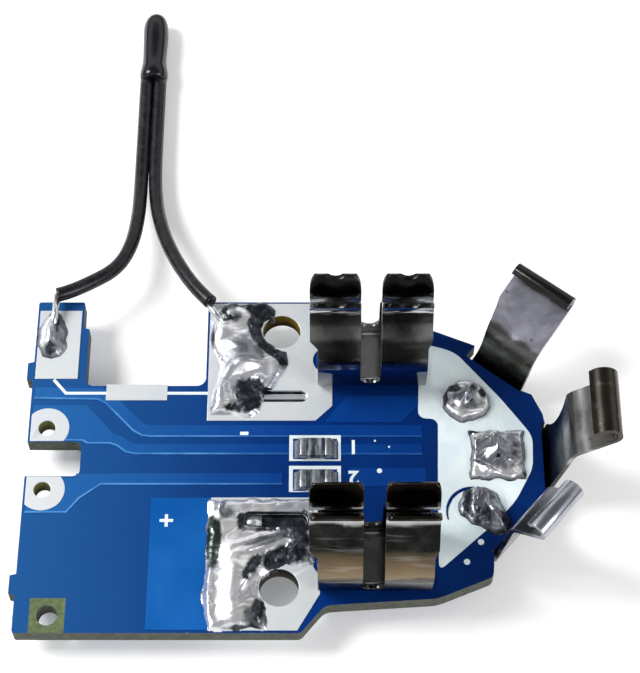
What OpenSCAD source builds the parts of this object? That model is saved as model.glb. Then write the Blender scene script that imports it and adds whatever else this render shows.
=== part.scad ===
// Battery management board for a three-cell tool battery pack.
// A routed circuit board carries two tulip clips for the tool's power blades,
// three stamped spring contacts round its nose, two chip resistors and a
// thermistor on two stiff leads. +Z is up, +X runs to the nose, and the origin
// is on the board's centreline, on its underside.

/* [Board] */
// Thickness of the laminate
board_t = 1.2; // [0.8:0.1:2]
// From the origin back to the rear edge
rear_len = 16.2; // [13:0.1:22]
// From the origin forward to the nose
nose_len = 17.2; // [14:0.1:22]
// From the centreline to the edge on the minus side
minus_side = 11.4; // [10:0.1:15]
// From the centreline to the edge on the plus side
plus_side = 12.2; // [10.5:0.1:16]
// Width of the tab that carries the thermistor land
tab_w = 3.1; // [2.4:0.1:5]
// Depth of the notch in the minus edge
notch_d = 6.4; // [4:0.1:8]
// Front end of the minus arm
arm_end = 3.9; // [3:0.1:6]
// Thickness of the copper with its tin
cu_t = 0.07; // [0.05:0.01:0.15]

/* [Holes] */
// Bore of the two power holes
power_bore = 2.5; // [1.6:0.1:3]
// Length of a strip slot
strip_slot_l = 4; // [3:0.1:4.8]
// Width of a strip slot
strip_slot_w = 0.85; // [0.5:0.05:1.2]
// Bore of the two cell tap holes
tap_bore = 1.1; // [0.7:0.1:1.5]
// Bore of the bare tooling hole
tooling_bore = 1.3; // [1:0.1:2]
// Depth of the slot between the tap lands
tap_slot_d = 3.5; // [2.5:0.1:4.2]
// Width of the slot between the tap lands
tap_slot_w = 2.45; // [1.5:0.05:3]

/* [Power clips] */
// Distance of a clip from the centreline
clip_y = 7.2; // [6.9:0.1:9]
// Length of a clip along the blade
clip_l = 7.8; // [6:0.1:10]
// Height of a clip
clip_h = 9.1; // [7:0.1:12]
// Thickness of the clip sheet
clip_t = 0.3; // [0.2:0.05:0.45]
// Width of the clip floor between its bends
clip_floor = 2.9; // [2:0.1:3.6]
// Gap between the two finger pairs
finger_gap = 1.3; // [0.8:0.1:2]
// Width of a solder tail
tail_w = 1.6; // [1:0.1:2]
// How far the tails stand out below the board
tail_out = 1.5; // [0.8:0.1:2.5]

/* [Spring contacts] */
// Width of a contact leaf
contact_w = 4.4; // [3:0.1:5]
// Thickness of the contact sheet
contact_t = 0.3; // [0.2:0.05:0.4]
// Length of the steep part of a leaf
leaf_l = 5.3; // [3:0.1:7]
// Length of the sloping head of a leaf
head_l = 2.6; // [1.5:0.1:4]
// Bend radius of the rolled end, at the middle of the sheet
curl_r = 0.8; // [0.4:0.02:0.95]
// Width of a foot under the board
foot_w = 3; // [2:0.1:3.4]
// Width of a pin
pin_w = 0.9; // [0.5:0.1:1.2]

/* [Chip resistors] */
// Length of a chip over its caps
chip_l = 2; // [1:0.1:3.2]
// Width of a chip
chip_w = 1.25; // [0.5:0.05:1.6]
// Height of a chip
chip_h = 0.5; // [0.35:0.05:0.7]
// Distance between the two chips
chip_pitch = 2.25; // [1.8:0.05:3]

/* [Thermistor] */
// Diameter of an insulated lead
sleeve_d = 1; // [0.7:0.05:1.3]
// Diameter of the bare wire
wire_d = 0.45; // [0.25:0.05:0.6]
// Diameter of the bead
bead_d = 2; // [1.6:0.1:3]
// Length of the bead with its collar
bead_l = 6.2; // [5:0.1:8]
// From the minus edge to the bead
bead_reach = 19.8; // [16:0.1:26]

/* [Hidden] */
$fn = 48;

// Levels
eps = 0.01;
top = board_t;               // upper face of the laminate
seat = top + cu_t;           // upper face of the lands
under = -cu_t;               // lower face of the lands
thru = board_t + 2 * cu_t;   // through the board and both lands
rest_z = -tail_out;          // level on which the board stands
edge_gap = 0.15;             // bare margin from a land to the board edge

// Corners of the board
xr = -rear_len;
xn = nose_len;
ym = minus_side;
yp = -plus_side;
stub = 0.4;                  // how far a break-off stub stands proud
stub_l = 1.3;
notch_x = xr + tab_w;        // rear wall of the notch
notch_w = 8.3;
arm_x = notch_x + notch_w;   // front wall of the notch
notch_y = ym - notch_d;
clip_mid = -0.3;             // line midway between the clips
minus_clip_y = clip_mid + clip_y;
plus_clip_y = clip_mid - clip_y;
shoulder_y = minus_clip_y + 2.3;  // nose edge beside the minus clip
flank_y = plus_clip_y - 2.9;      // nose edge beside the plus clip

// Cell taps and tooling hole, from the rear edge
tap_x = xr + 1.2;
tap_slot_y = -0.35;
tap_dy = 2.2;
tooling_x = xr + 2.1;
tooling_y = yp + 1.15;
tap_land_r = 1.45;

// Power holes and strip slots
hole_x = 0.15;
hole_minus_y = ym - 2.35;
hole_plus_y = yp + 2.95;
slot_x = -0.1;
slot_minus_y = 4.2;
slot_plus_y = -4.7;

// Clips
clip_x = 5.95;
tail_dx = clip_l / 4 + finger_gap / 8;
tail_t = 0.4;
tail_clear = 0.2;
tail_land = 0.4;

// Contacts: place of the bend on the board edge, direction in degrees, how far in
// from there the pin stands, and width of the leaf
temp_at = [xn - 3.23, 6.01, 52, 2.8, contact_w];
mid_at = [xn - 0.15, -0.1, 0, 2.95, contact_w];
high_at = [xn - 2.39, -5.28, -41, 2.7, contact_w * 0.86];
waist_in = 0.65;             // how far one side of a leaf is drawn in at its waist
pin_reach = 0.4;             // how far the foot runs on behind its pin
foot_neck = 0.8;             // length of the foot that keeps the leaf's width
recess_side = 0.15;          // side clearance of a leaf in its recess
bend_in = 0.1;               // from the board edge in to the first bend
foot_r = 0.3;                // radius of that bend, at the middle of the sheet
pin_over = 0.7;              // how far a pin stands above its land
pin_bore = 1.3;

// Chips
chip_x = 2.42;
chip_y = -0.85;
cap_l = 0.4;
chip_land_l = 0.85;

// Thermistor
lead_in = 0.35;              // height of a wire above its land
bead_x = -9.5;
bead_y = ym + bead_reach;
lead_pitch = sleeve_d + 0.14;
bead_z = rest_z + bead_d / 2 + 0.1;

// ---------- outlines ----------

// A polygon with rounded corners, from [x, y, radius] points
function unit(v) = v / norm(v);
function corner(a, b, c, r) =
    let (u = unit(a - b), v = unit(c - b), half = acos(u * v) / 2,
         reach = min(r / tan(half), norm(a - b) * 0.49, norm(c - b) * 0.49),
         rr = reach * tan(half), mid = b + unit(u + v) * rr / sin(half),
         s = b + u * reach, e = b + v * reach,
         a0 = atan2(s[1] - mid[1], s[0] - mid[0]),
         a1 = atan2(e[1] - mid[1], e[0] - mid[0]),
         sweep = a1 - a0 > 180 ? a1 - a0 - 360 : a1 - a0 < -180 ? a1 - a0 + 360 : a1 - a0,
         n = ceil(abs(sweep) / 15))
    [for (i = [0:n]) mid + rr * [cos(a0 + sweep * i / n), sin(a0 + sweep * i / n)]];
function xy(p) = [p[0], p[1]];
function rounded(pts) =
    let (n = len(pts))
    [for (i = [0:n - 1])
        let (p = pts[i], r = len(p) > 2 ? p[2] : 0)
        each r == 0 ? [xy(p)] : corner(xy(pts[(i + n - 1) % n]), xy(p), xy(pts[(i + 1) % n]), r)];

// Ends of the recess in which a contact's leaf stands, with the corner outside it
function out_dir(at) = [cos(at[2]), sin(at[2])];
function side_dir(at) = [sin(at[2]), -cos(at[2])];
function recess(at, out_a, out_b, drawn = 0) =
    let (half = at[4] / 2 + recess_side, p = xy(at), s = side_dir(at), o = out_dir(at))
    [p - s * (half - drawn) + o * out_a, p - s * (half - drawn), p + s * half, p + s * half + o * out_b];

module board_outline() {
    tap_lo = tap_slot_y - tap_slot_w / 2;
    tap_hi = tap_slot_y + tap_slot_w / 2;
    polygon(rounded(concat([
        [xr, ym, 0.15], [notch_x, ym, 0.15],
        [notch_x, ym - 2], [notch_x + stub, ym - 2.1], [notch_x + stub, notch_y, 0.5],
        [arm_x, notch_y, 0.6], [arm_x, ym, 0.2],
        [arm_end, ym, 0.4], [arm_end + 0.9, shoulder_y, 0.6],
        [xn - 7, shoulder_y, 1]],
        recess(temp_at, 1, 0.1, waist_in / 2),
        [[xn - 0.65, 4.36], [xn, 2.9, 0.3]],
        recess(mid_at, 0.25, 0.25),
        recess(high_at, 0.2, 0.2),
        [[xn - 3.7, flank_y + 1.9, 0.5], [xn - 7.2, flank_y + 0.45, 2.5], [3, flank_y, 1],
        [1.5, yp, 0.4], [xr, yp, 0.2],
        [xr, yp + 2.5], [xr - stub, yp + 2.6], [xr - stub, yp + 2.5 + stub_l],
        [xr, yp + 2.6 + stub_l],
        [xr, tap_lo], [xr + tap_slot_d, tap_lo, 0.45], [xr + tap_slot_d, tap_hi, 0.45],
        [xr, tap_hi],
        [xr, ym - 6], [xr - stub, ym - 5.9], [xr - stub, ym - 6 + stub_l],
        [xr, ym - 5.9 + stub_l]])));
}

// A slot with round ends along X
module slot(l, w) {
    square([l - w, w], center = true);
    for (s = [-1, 1]) translate([s * (l - w) / 2, 0]) circle(d = w);
}

// Outline of a clip tail, grown all round
module tail_slot(grow) {
    slot(tail_w + 2 * grow, tail_t + 2 * grow);
}

module place_tails() {
    for (s = [-1, 1]) translate([clip_x + s * tail_dx, 0]) children();
}

// Every plated hole in the laminate: the round open ones at their finished size,
// the slots and pin holes grown by the plating that lines them
module board_holes(plate) {
    for (y = [hole_minus_y, hole_plus_y]) translate([hole_x, y]) circle(d = power_bore);
    for (y = [slot_minus_y, slot_plus_y])
        translate([slot_x, y]) slot(strip_slot_l + 2 * plate, strip_slot_w + 2 * plate);
    for (s = [-1, 1])
        translate([tap_x, tap_slot_y + s * tap_dy]) circle(d = tap_bore);
    for (y = [minus_clip_y, plus_clip_y])
        translate([0, y]) place_tails() tail_slot(tail_clear + plate);
    for (at = [temp_at, mid_at, high_at])
        translate(xy(at) - out_dir(at) * at[3]) circle(d = pin_bore + 2 * plate);
}

// ---------- strips of sheet metal, seen edge-on ----------

// One side of a strip: steps are [straight length, bend angle, bend radius]
function strip_side(steps, t, side, p, a, i = 0) =
    i == len(steps) ? [] :
    let (s = steps[i], q = p + s[0] * [cos(a), sin(a)], sg = sign(s[1]),
         c = q + sg * s[2] * [-sin(a), cos(a)], n = ceil(abs(s[1]) / 9), e = a + s[1])
    concat([for (k = [0:n])
                let (b = a + s[1] * k / max(n, 1))
                c - (sg * s[2] - side * t / 2) * [-sin(b), cos(b)]],
           strip_side(steps, t, side, c - sg * s[2] * [-sin(e), cos(e)], e, i + 1));
function reversed(v) = [for (i = [len(v) - 1:-1:0]) v[i]];
module strip(steps, t, from, heading) {
    n = t / 2 * [-sin(heading), cos(heading)];
    polygon(concat([from + n], strip_side(steps, t, 1, from, heading),
                   reversed(strip_side(steps, t, -1, from, heading)), [from - n]));
}

// ---------- board and its copper ----------

module board() {
    color("#0b3f8f")
        difference() {
            linear_extrude(board_t) board_outline();
            translate([0, 0, -eps]) linear_extrude(board_t + 2 * eps) {
                board_holes(cu_t);
                translate([tooling_x, tooling_y]) circle(d = tooling_bore);
            }
        }
}

// A plated land: an outline on both faces, the holes through it, and the barrels
// that line its slots
module plated() {
    color("silver")
        difference() {
            union() {
                for (z = [under, top]) translate([0, 0, z]) linear_extrude(cu_t) children(0);
                if ($children > 2) translate([0, 0, under]) linear_extrude(thru) children(2);
            }
            translate([0, 0, under - eps]) linear_extrude(thru + 2 * eps) children(1);
        }
}

module minus_land() {
    cut = 1.1;
    low = slot_minus_y - 1.8;
    polygon([[arm_x + edge_gap, ym - edge_gap], [3.5, ym - edge_gap],
             [3.5, low + cut], [3.5 - cut, low], [arm_x + edge_gap, low]]);
}

module plus_land() {
    low = yp + edge_gap;
    high = slot_plus_y + 1.6;
    polygon([[-4.2, high], [2.7, high], [2.7, low + 2.4], [1.3, low], [-4.2, low]]);
}

// A power land, cut back round the lands of the clip beside it
module power_copper(tails_y, hole_y, strip_y) {
    plated() {
        difference() {
            children(0);
            translate([0, tails_y]) place_tails() tail_slot(tail_clear + tail_land + 0.2);
        }
        union() {
            translate([hole_x, hole_y]) circle(d = power_bore);
            translate([slot_x, strip_y]) slot(strip_slot_l, strip_slot_w);
        }
        translate([slot_x, strip_y]) slot(strip_slot_l + 2 * cu_t, strip_slot_w + 2 * cu_t);
    }
}

module minus_copper() {
    power_copper(minus_clip_y, hole_minus_y, slot_minus_y) minus_land();
}

module plus_copper() {
    power_copper(plus_clip_y, hole_plus_y, slot_plus_y) plus_land();
}

module clip_lands() {
    for (y = [minus_clip_y, plus_clip_y])
        plated() {
            translate([0, y]) place_tails() tail_slot(tail_clear + tail_land);
            translate([0, y]) place_tails() tail_slot(tail_clear);
            translate([0, y]) place_tails() tail_slot(tail_clear + cu_t);
        }
}

module thermistor_land() {
    color("silver")
        translate([xr + edge_gap, notch_y + 0.5, top])
            cube([tab_w - 2 * edge_gap, 5.2, cu_t]);
}

// A land at the notch floor, wrapped round the board edge
module side_land() {
    color("silver")
        translate([notch_x + 1.8, notch_y - 1.1, under])
            difference() {
                cube([4, 1.1 + cu_t, thru]);
                translate([-eps, -eps, cu_t]) cube([4 + 2 * eps, 1.1 + eps, board_t]);
            }
}

// A round land cut off straight at the rear edge and beside the tap slot
module tap_land(s) {
    plated() {
        intersection() {
            translate([tap_x, tap_slot_y + s * tap_dy]) circle(r = tap_land_r);
            translate([xr + edge_gap, tap_slot_y])
                scale([1, s]) translate([0, tap_slot_w / 2 + 0.05]) square(2 * tap_land_r + tap_dy);
        }
        translate([tap_x, tap_slot_y + s * tap_dy]) circle(d = tap_bore);
    }
}

module tap_land_upper() {
    tap_land(1);
}

module tap_land_lower() {
    tap_land(-1);
}

// Land of a contact: a shape on top, a foot print below, a barrel between
module contact_land(at) {
    color("silver")
        translate([at[0], at[1]]) rotate(at[2]) translate([-at[3], 0, under])
            difference() {
                union() {
                    translate([0, 0, cu_t + board_t]) linear_extrude(cu_t) children();
                    linear_extrude(cu_t) {
                        circle(d = pin_bore + 1);
                        translate([0, -foot_w / 2]) square([at[3] - 0.35, foot_w]);
                    }
                    cylinder(d = pin_bore + 2 * cu_t, h = thru);
                }
                translate([0, 0, -eps]) cylinder(d = pin_bore, h = thru + 2 * eps);
            }
}

module contact_land_temp() {
    r = 1.72;
    contact_land(temp_at) rotate(22.5 - temp_at[2])
        polygon([for (i = [0:7]) r * [cos(45 * i), sin(45 * i)]]);
}

module contact_land_mid() {
    contact_land(mid_at) square(3.5, center = true);
}

module contact_land_high() {
    contact_land(high_at) circle(d = 3.4);
}

module chip_ends(y) {
    for (s = [-1, 1])
        translate([chip_x + s * (chip_l / 2 + 0.02), chip_y + y]) children();
}

module chip_lands() {
    color("silver")
        for (y = [-chip_pitch / 2, chip_pitch / 2])
            chip_ends(y)
                translate([-chip_land_l / 2, -chip_w / 2 - 0.05, top])
                    cube([chip_land_l, chip_w + 0.1, cu_t]);
}

// ---------- power clips ----------

// Half of the tulip section, from the middle of the floor to the lip
module clip_half() {
    lift = clip_h - 9.15;
    half = clip_floor / 2;
    strip([[half, 80, 0.6], [1.95 + lift / 2, 40, 2.4], [3.3 + lift / 2, -65, 0.9], [1.15, 0, 0]],
          clip_t, [0, clip_t / 2], 0);
}

// Front outline: two finger pairs that are a little narrower near the board
module clip_front(scalloped) {
    hw = clip_l / 2;
    g = finger_gap / 2;
    waist = 4.75;
    step = 0.5;
    tip_r = scalloped ? 1 : 0.7;
    difference() {
        polygon(rounded([
            [-hw + step, -1], [-hw + step, waist, 0.2], [-hw, waist + step, 0.2], [-hw, clip_h, tip_r],
            [-g, clip_h, tip_r], [-g, 1, 0.6], [g, 1, 0.6], [g, clip_h, tip_r],
            [hw, clip_h, tip_r], [hw, waist + step, 0.2], [hw - step / 2, waist, 0.2], [hw - step / 2, -1]]));
        if (scalloped)
            for (s = [-1, 1])
                translate([s * (hw + g) / 2, clip_h + 0.5]) circle(r = 0.9);
    }
}

module clip(y, scalloped) {
    color("#8c8a84")
        translate([clip_x, y, seat]) {
            intersection() {
                translate([-clip_l / 2 - 1, 0, 0])
                    rotate([90, 0, 90]) linear_extrude(clip_l + 2) {
                        clip_half();
                        mirror([1, 0]) clip_half();
                    }
                rotate([90, 0, 0]) linear_extrude(8, center = true) clip_front(scalloped);
            }
            for (s = [-1, 1])
                translate([s * tail_dx - tail_w / 2, -tail_t / 2, rest_z - seat])
                    cube([tail_w, tail_t, seat - rest_z + clip_t / 2]);
        }
}

module clip_minus() {
    clip(minus_clip_y, true);
}

module clip_plus() {
    clip(plus_clip_y, false);
}

// A shallow dome with its flat side down
module cap(a, h) {
    r = (a * a + h * h) / (2 * h);
    intersection() {
        translate([0, 0, h - r]) sphere(r = r);
        translate([-a, -a, 0]) cube([2 * a, 2 * a, h]);
    }
}

// Solder round the tails: it fills their slots and stands in cones below
module clip_solder(y) {
    color("lightgray")
        translate([0, y]) place_tails()
            difference() {
                union() {
                    translate([0, 0, under]) linear_extrude(thru) tail_slot(tail_clear);
                    intersection() {
                        translate([0, 0, under]) mirror([0, 0, 1]) cap(1.4, 0.85);
                        translate([0, 0, rest_z]) linear_extrude(-rest_z) tail_slot(tail_clear + tail_land - 0.1);
                    }
                }
                translate([-tail_w / 2, -tail_t / 2, rest_z]) cube([tail_w, tail_t, seat - rest_z + eps]);
            }
}

module clip_minus_solder() {
    clip_solder(minus_clip_y);
}

module clip_plus_solder() {
    clip_solder(plus_clip_y);
}

// ---------- spring contacts ----------

// The pin that comes up through the board
module contact_pin(at) {
    translate([at[0], at[1], under - contact_t]) rotate(at[2])
        translate([-at[3] - contact_t / 2, -pin_w / 2])
            cube([contact_t, pin_w, contact_t + thru + pin_over]);
}

// A long shallow cut that draws in one side of a leaf
module contact_waist(at, leaf) {
    r = (leaf[7] * leaf[7] / 4 + waist_in * waist_in) / (2 * waist_in);
    rotate([0, -leaf[0], 0])
        translate([leaf[6], at[4] / 2 - waist_in + r, 0])
            cylinder(r = r, h = 5, center = true);
}

module contact_body(at, leaf) {
    foot_l = at[3] + pin_reach;
    color("#8f8d88") {
        translate([at[0], at[1]]) rotate(at[2])
            difference() {
                rotate([90, 0, 0]) linear_extrude(at[4], center = true)
                    strip([[foot_l - bend_in, leaf[0], foot_r], [leaf[1], leaf[2], leaf[3]],
                           [leaf[4], 190, leaf[5]], [0.3, 0, 0]],
                          contact_t, [-foot_l, under - contact_t / 2], 0);
                for (s = [-1, 1])
                    translate([-foot_l - foot_neck, s * (foot_w + contact_w) / 2, under - contact_t / 2])
                        cube([2 * foot_l, contact_w, 2 * contact_t], center = true);
                contact_waist(at, leaf);
            }
        contact_pin(at);
    }
}

// A leaf: [foot angle, steep length, shoulder angle and radius, head length, curl
// radius, place and length of its waist]
upright = [78, leaf_l, -38, 1, head_l, curl_r, leaf_l * 0.65, 4];
steeper = [82, leaf_l, -40, 1, head_l * 0.85, curl_r * 0.65, leaf_l * 0.65, 4];
// Leaf pushed outwards, with its shoulder flattened and its curl closed up
pushed = [64, leaf_l * 0.5, -44, 1.8, head_l + leaf_l * 0.16, curl_r * 0.56, leaf_l * 0.4, 6];

module contact_temp() {
    contact_body(temp_at, pushed);
}

module contact_mid() {
    contact_body(mid_at, upright);
}

// A pin end that is bent over on top of its land
module bent_end(at) {
    translate([at[0], at[1], seat + pin_over]) rotate(at[2])
        translate([-at[3] - contact_t / 2, -pin_w / 2, -contact_t / 2])
            rotate([0, 14, 0]) cube([1.9, pin_w, contact_t]);
}

module contact_high() {
    contact_body(high_at, steeper);
    color("#8f8d88") bent_end(high_at);
}

// ---------- solder ----------

// Lumps of solder on a power land, each [x, y, radius, height]
module lumps(list) {
    for (p = list) translate([p[0], p[1], seat]) cap(p[2], p[3]);
}

// The solder that ran through a strip slot, with its lump below
module slot_fill(y) {
    w = strip_slot_w;
    x = slot_x - strip_slot_l / 2 + w / 2;
    translate([x, y, under]) cylinder(d = w, h = thru + 0.3);
    translate([x, y - w / 2, under]) cube([0.7, w, thru + 0.3]);
    translate([x, y, under]) mirror([0, 0, 1]) cap(1.3, -rest_z - cu_t);
}

module keep_open(hole_y, strip_y, plug) {
    translate([hole_x, hole_y, seat - eps]) cylinder(d = power_bore, h = 3);
    translate([slot_x + plug, strip_y, seat - eps])
        linear_extrude(3) slot(strip_slot_l - plug, strip_slot_w);
}

module solder_minus() {
    color("lightgray")
        difference() {
            union() {
                difference() {
                    lumps([[arm_x + 1.5, ym - 1.75, 1.3, 0.8], [arm_x + 1.55, ym - 3.7, 1.35, 0.7],
                           [arm_x + 1.5, ym - 5.6, 1.25, 0.65], [arm_x + 2.3, slot_minus_y + 0.35, 1.7, 0.9],
                           [slot_x + 0.3, slot_minus_y + 1.2, 1.45, 0.5], [arm_x + 2.8, ym - 1.5, 0.95, 0.45]]);
                    keep_open(hole_minus_y, slot_minus_y, 0.7);
                }
                slot_fill(slot_minus_y);
            }
            wire_path("right");
        }
}

module solder_plus() {
    color("lightgray") {
        difference() {
            lumps([[-2.9, slot_plus_y - 0.2, 1.25, 0.7], [-2.8, slot_plus_y - 2, 1.35, 0.85],
                   [-2.8, slot_plus_y - 4, 1.35, 0.8], [-2.75, slot_plus_y - 5.8, 1.3, 0.7],
                   [-1.2, slot_plus_y - 1.6, 1.4, 0.75], [0.4, slot_plus_y - 1.7, 1.2, 0.6],
                   [-1.4, slot_plus_y - 6, 1.1, 0.6], [-1, slot_plus_y + 0.5, 1.1, 0.4],
                   [0.4, slot_plus_y + 0.6, 0.9, 0.4]]);
            keep_open(hole_plus_y, slot_plus_y, 0.7);
        }
        slot_fill(slot_plus_y);
    }
}

// A tear-shaped joint along the bare wire
module solder_thermistor() {
    p = wire_end("left");
    color("lightgray")
        difference() {
            translate([p[0], p[1], seat]) {
                translate([0, -0.6]) cap(0.95, 0.8);
                translate([0, 0.3]) cap(0.75, 0.75);
                translate([0.05, 1.1]) cap(0.5, 0.6);
            }
            wire_path("left");
        }
}

module joint_solder(at, a, h) {
    color("lightgray")
        difference() {
            translate([at[0], at[1], 0]) rotate(at[2]) translate([-at[3], 0, 0]) {
                translate([0, 0, seat]) cap(a, h);
                translate([0, 0, top / 2]) cylinder(d = pin_bore, h = top / 2 + cu_t + eps);
            }
            contact_pin(at);
            children();
        }
}

module solder_temp() {
    joint_solder(temp_at, 1.5, 0.95);
}

module solder_mid() {
    joint_solder(mid_at, 1.7, 1.1);
}

module solder_high() {
    joint_solder(high_at, 1.5, 0.55) bent_end(high_at);
}

// ---------- chip resistors ----------

module chip_body(y) {
    color("#2a2a2c")
        translate([chip_x - chip_l / 2 + cap_l, chip_y + y - chip_w / 2, seat])
            cube([chip_l - 2 * cap_l, chip_w, chip_h]);
}

module chip_caps(y) {
    color("silver")
        for (s = [-1, 1])
            translate([chip_x + s * (chip_l - cap_l) / 2 - cap_l / 2, chip_y + y - chip_w / 2, seat])
                cube([cap_l, chip_w, chip_h]);
}

// Wedge fillets from the outer end of a land up to the cap
module chip_solder(y) {
    run = chip_land_l / 2 - 0.02;
    color("lightgray")
        for (s = [-1, 1])
            translate([chip_x + s * chip_l / 2, chip_y + y, seat])
                rotate([90, 0, 0])
                    linear_extrude(chip_w, center = true)
                        polygon([[0, 0], [s * run, 0], [s * run * 0.45, chip_h * 0.35], [0, chip_h * 0.85]]);
}

module resistor_1() {
    chip_body(chip_pitch / 2);
}

module resistor_2() {
    chip_body(-chip_pitch / 2);
}

module resistor_1_caps() {
    chip_caps(chip_pitch / 2);
}

module resistor_2_caps() {
    chip_caps(-chip_pitch / 2);
}

module resistor_1_solder() {
    chip_solder(chip_pitch / 2);
}

module resistor_2_solder() {
    chip_solder(-chip_pitch / 2);
}

// ---------- thermistor ----------

// Where each bare wire is soldered down, and where its sleeve begins
function wire_end(side) = side == "left" ? [xr + 1.1, ym - 2.7] : [arm_x + 1.3, ym - 2.2];
function wire_joint(side) = concat(wire_end(side), [seat + lead_in]);
function sleeve_start(side) =
    side == "left" ? [xr + 1.3, ym + 0.1, seat + 0.75] : [arm_x - 0.1, ym - 0.6, seat + 0.95];

// Middle line of each sleeve: a chosen curve from the board to the bead
function lead_points(side) =
    let (s = sleeve_start(side), left = side == "left", k = left ? -1 : 1,
         neck = s + 0.4 * unit(s - wire_joint(side)),
         fork = [bead_x + k * lead_pitch / 2, ym + 9, bead_z], end = [fork[0], bead_y, bead_z],
         run = fork - s)
    left ?
        [s, neck, s + [1.3, 1.2, -0.15], s + [run[0] * 0.58, run[1] * 0.36, run[2] * 0.32],
         s + [run[0] * 0.86, run[1] * 0.62, run[2] * 0.68], fork, (fork + end) / 2, end] :
        [s, neck, s + [-0.85, 1.3, -0.3], s + [run[0] * 0.52, run[1] * 0.36, run[2] * 0.4],
         s + [run[0] * 0.82, run[1] * 0.64, run[2] * 0.75], fork, (fork + end) / 2, end];

// Catmull-Rom curve through the points
function spline(p, n) =
    let (m = len(p) - 1)
    concat([for (i = [0:m - 1])
        let (a = p[max(i - 1, 0)], b = p[i], c = p[i + 1], d = p[min(i + 2, m)])
        for (k = [0:n - 1])
            let (t = k / n)
            0.5 * (2 * b + (c - a) * t + (2 * a - 5 * b + 4 * c - d) * t * t
                   + (3 * b - a - 3 * c + d) * t * t * t)], [p[m]]);

// Round tube along a path, as one closed mesh
module tube(path, d, sides) {
    n = len(path);
    ring = function (i)
        let (t = unit(path[min(i + 1, n - 1)] - path[max(i - 1, 0)]),
             u = unit(cross([0, 0, 1], t)), v = cross(t, u))
        [for (k = [0:sides - 1]) path[i] + d / 2 * (cos(360 * k / sides) * u + sin(360 * k / sides) * v)];
    polyhedron(
        [for (i = [0:n - 1]) each ring(i)],
        concat([[for (k = [0:sides - 1]) k]],
               [for (i = [0:n - 2], k = [0:sides - 1])
                   let (j = (k + 1) % sides)
                   [i * sides + k, (i + 1) * sides + k, (i + 1) * sides + j, i * sides + j]],
               [[for (k = [sides - 1:-1:0]) (n - 1) * sides + k]]));
}

// Bare wire: a straight rod from the sleeve down to its joint
module wire_path(side) {
    s = sleeve_start(side);
    v = wire_joint(side) - s;
    translate(s) rotate([0, acos(v[2] / norm(v)), atan2(v[1], v[0])]) cylinder(d = wire_d, h = norm(v));
}

module wire_left() {
    color("silver") wire_path("left");
}

module wire_right() {
    color("silver") wire_path("right");
}

module lead_left() {
    color("#18181a") tube(spline(lead_points("left"), 5), sleeve_d, 12);
}

module lead_right() {
    color("#18181a") tube(spline(lead_points("right"), 5), sleeve_d, 12);
}

// Dipped bead: a collar round both leads, a waist and a domed end
module thermistor_bead() {
    r = bead_d / 2;
    color("#141416")
        translate([bead_x, bead_y, bead_z]) rotate([-90, 0, 0])
            rotate_extrude()
                polygon(rounded([[0, 0], [r * 0.8, 0, 0.2], [r, 0.5, 0.3], [r * 0.95, 1, 0.3],
                    [r * 0.72, 1.5, 0.4], [r * 0.72, 2.4, 0.6], [r, 4, 1], [r * 0.98, bead_l - 0.7, 0.6],
                    [r * 0.5, bead_l, 0.5], [0, bead_l]]));
}

board();
minus_copper();
plus_copper();
clip_lands();
thermistor_land();
side_land();
tap_land_upper();
tap_land_lower();
contact_land_temp();
contact_land_mid();
contact_land_high();
chip_lands();
clip_minus();
clip_plus();
clip_minus_solder();
clip_plus_solder();
contact_temp();
contact_mid();
contact_high();
solder_minus();
solder_plus();
solder_thermistor();
solder_temp();
solder_mid();
solder_high();
resistor_1();
resistor_2();
resistor_1_caps();
resistor_2_caps();
resistor_1_solder();
resistor_2_solder();
thermistor_bead();
lead_left();
lead_right();
wire_left();
wire_right();
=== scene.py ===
"""Battery management board: a routed circuit board with blade clips, spring contacts and a thermistor."""
import math
import bmesh
import bpy
from mathutils import Matrix, Vector, noise


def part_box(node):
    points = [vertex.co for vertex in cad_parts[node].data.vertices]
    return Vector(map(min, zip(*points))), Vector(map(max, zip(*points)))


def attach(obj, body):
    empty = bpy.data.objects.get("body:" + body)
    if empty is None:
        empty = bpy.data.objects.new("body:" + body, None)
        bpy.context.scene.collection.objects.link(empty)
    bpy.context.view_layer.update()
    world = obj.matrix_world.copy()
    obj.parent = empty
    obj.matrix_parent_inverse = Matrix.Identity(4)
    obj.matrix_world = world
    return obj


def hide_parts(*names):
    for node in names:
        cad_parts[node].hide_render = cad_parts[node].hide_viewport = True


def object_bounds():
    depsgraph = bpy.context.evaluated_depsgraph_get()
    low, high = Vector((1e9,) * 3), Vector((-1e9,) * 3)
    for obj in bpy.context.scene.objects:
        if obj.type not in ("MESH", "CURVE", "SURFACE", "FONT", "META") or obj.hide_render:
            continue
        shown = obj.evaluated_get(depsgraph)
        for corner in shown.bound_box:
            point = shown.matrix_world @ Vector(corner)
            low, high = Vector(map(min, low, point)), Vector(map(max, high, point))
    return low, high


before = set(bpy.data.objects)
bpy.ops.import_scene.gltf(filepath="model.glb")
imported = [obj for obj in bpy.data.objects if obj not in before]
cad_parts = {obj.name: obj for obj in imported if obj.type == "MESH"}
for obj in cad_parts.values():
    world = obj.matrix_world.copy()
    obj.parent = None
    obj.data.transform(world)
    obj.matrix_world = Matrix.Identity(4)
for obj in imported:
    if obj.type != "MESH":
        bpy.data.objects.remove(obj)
cad_low, cad_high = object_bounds()

# ---------------------------------------------------------------- camera and light
# The board lies on a plain pale table under soft studio light. The sky is dim near
# the horizon and bright overhead, which is what the polished sheet metal mirrors.

MM = 0.001
scene = bpy.context.scene
scene.view_settings.view_transform = "Standard"

AIM = Vector((2.7, 8.74, 1.2)) * MM
EYE_DISTANCE = 126.73 * MM
EYE_ELEVATION = math.radians(60)
SENSOR = 36
FOCAL_SHARE = 1901 / 673  # focal length over the sensor's long side

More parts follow.
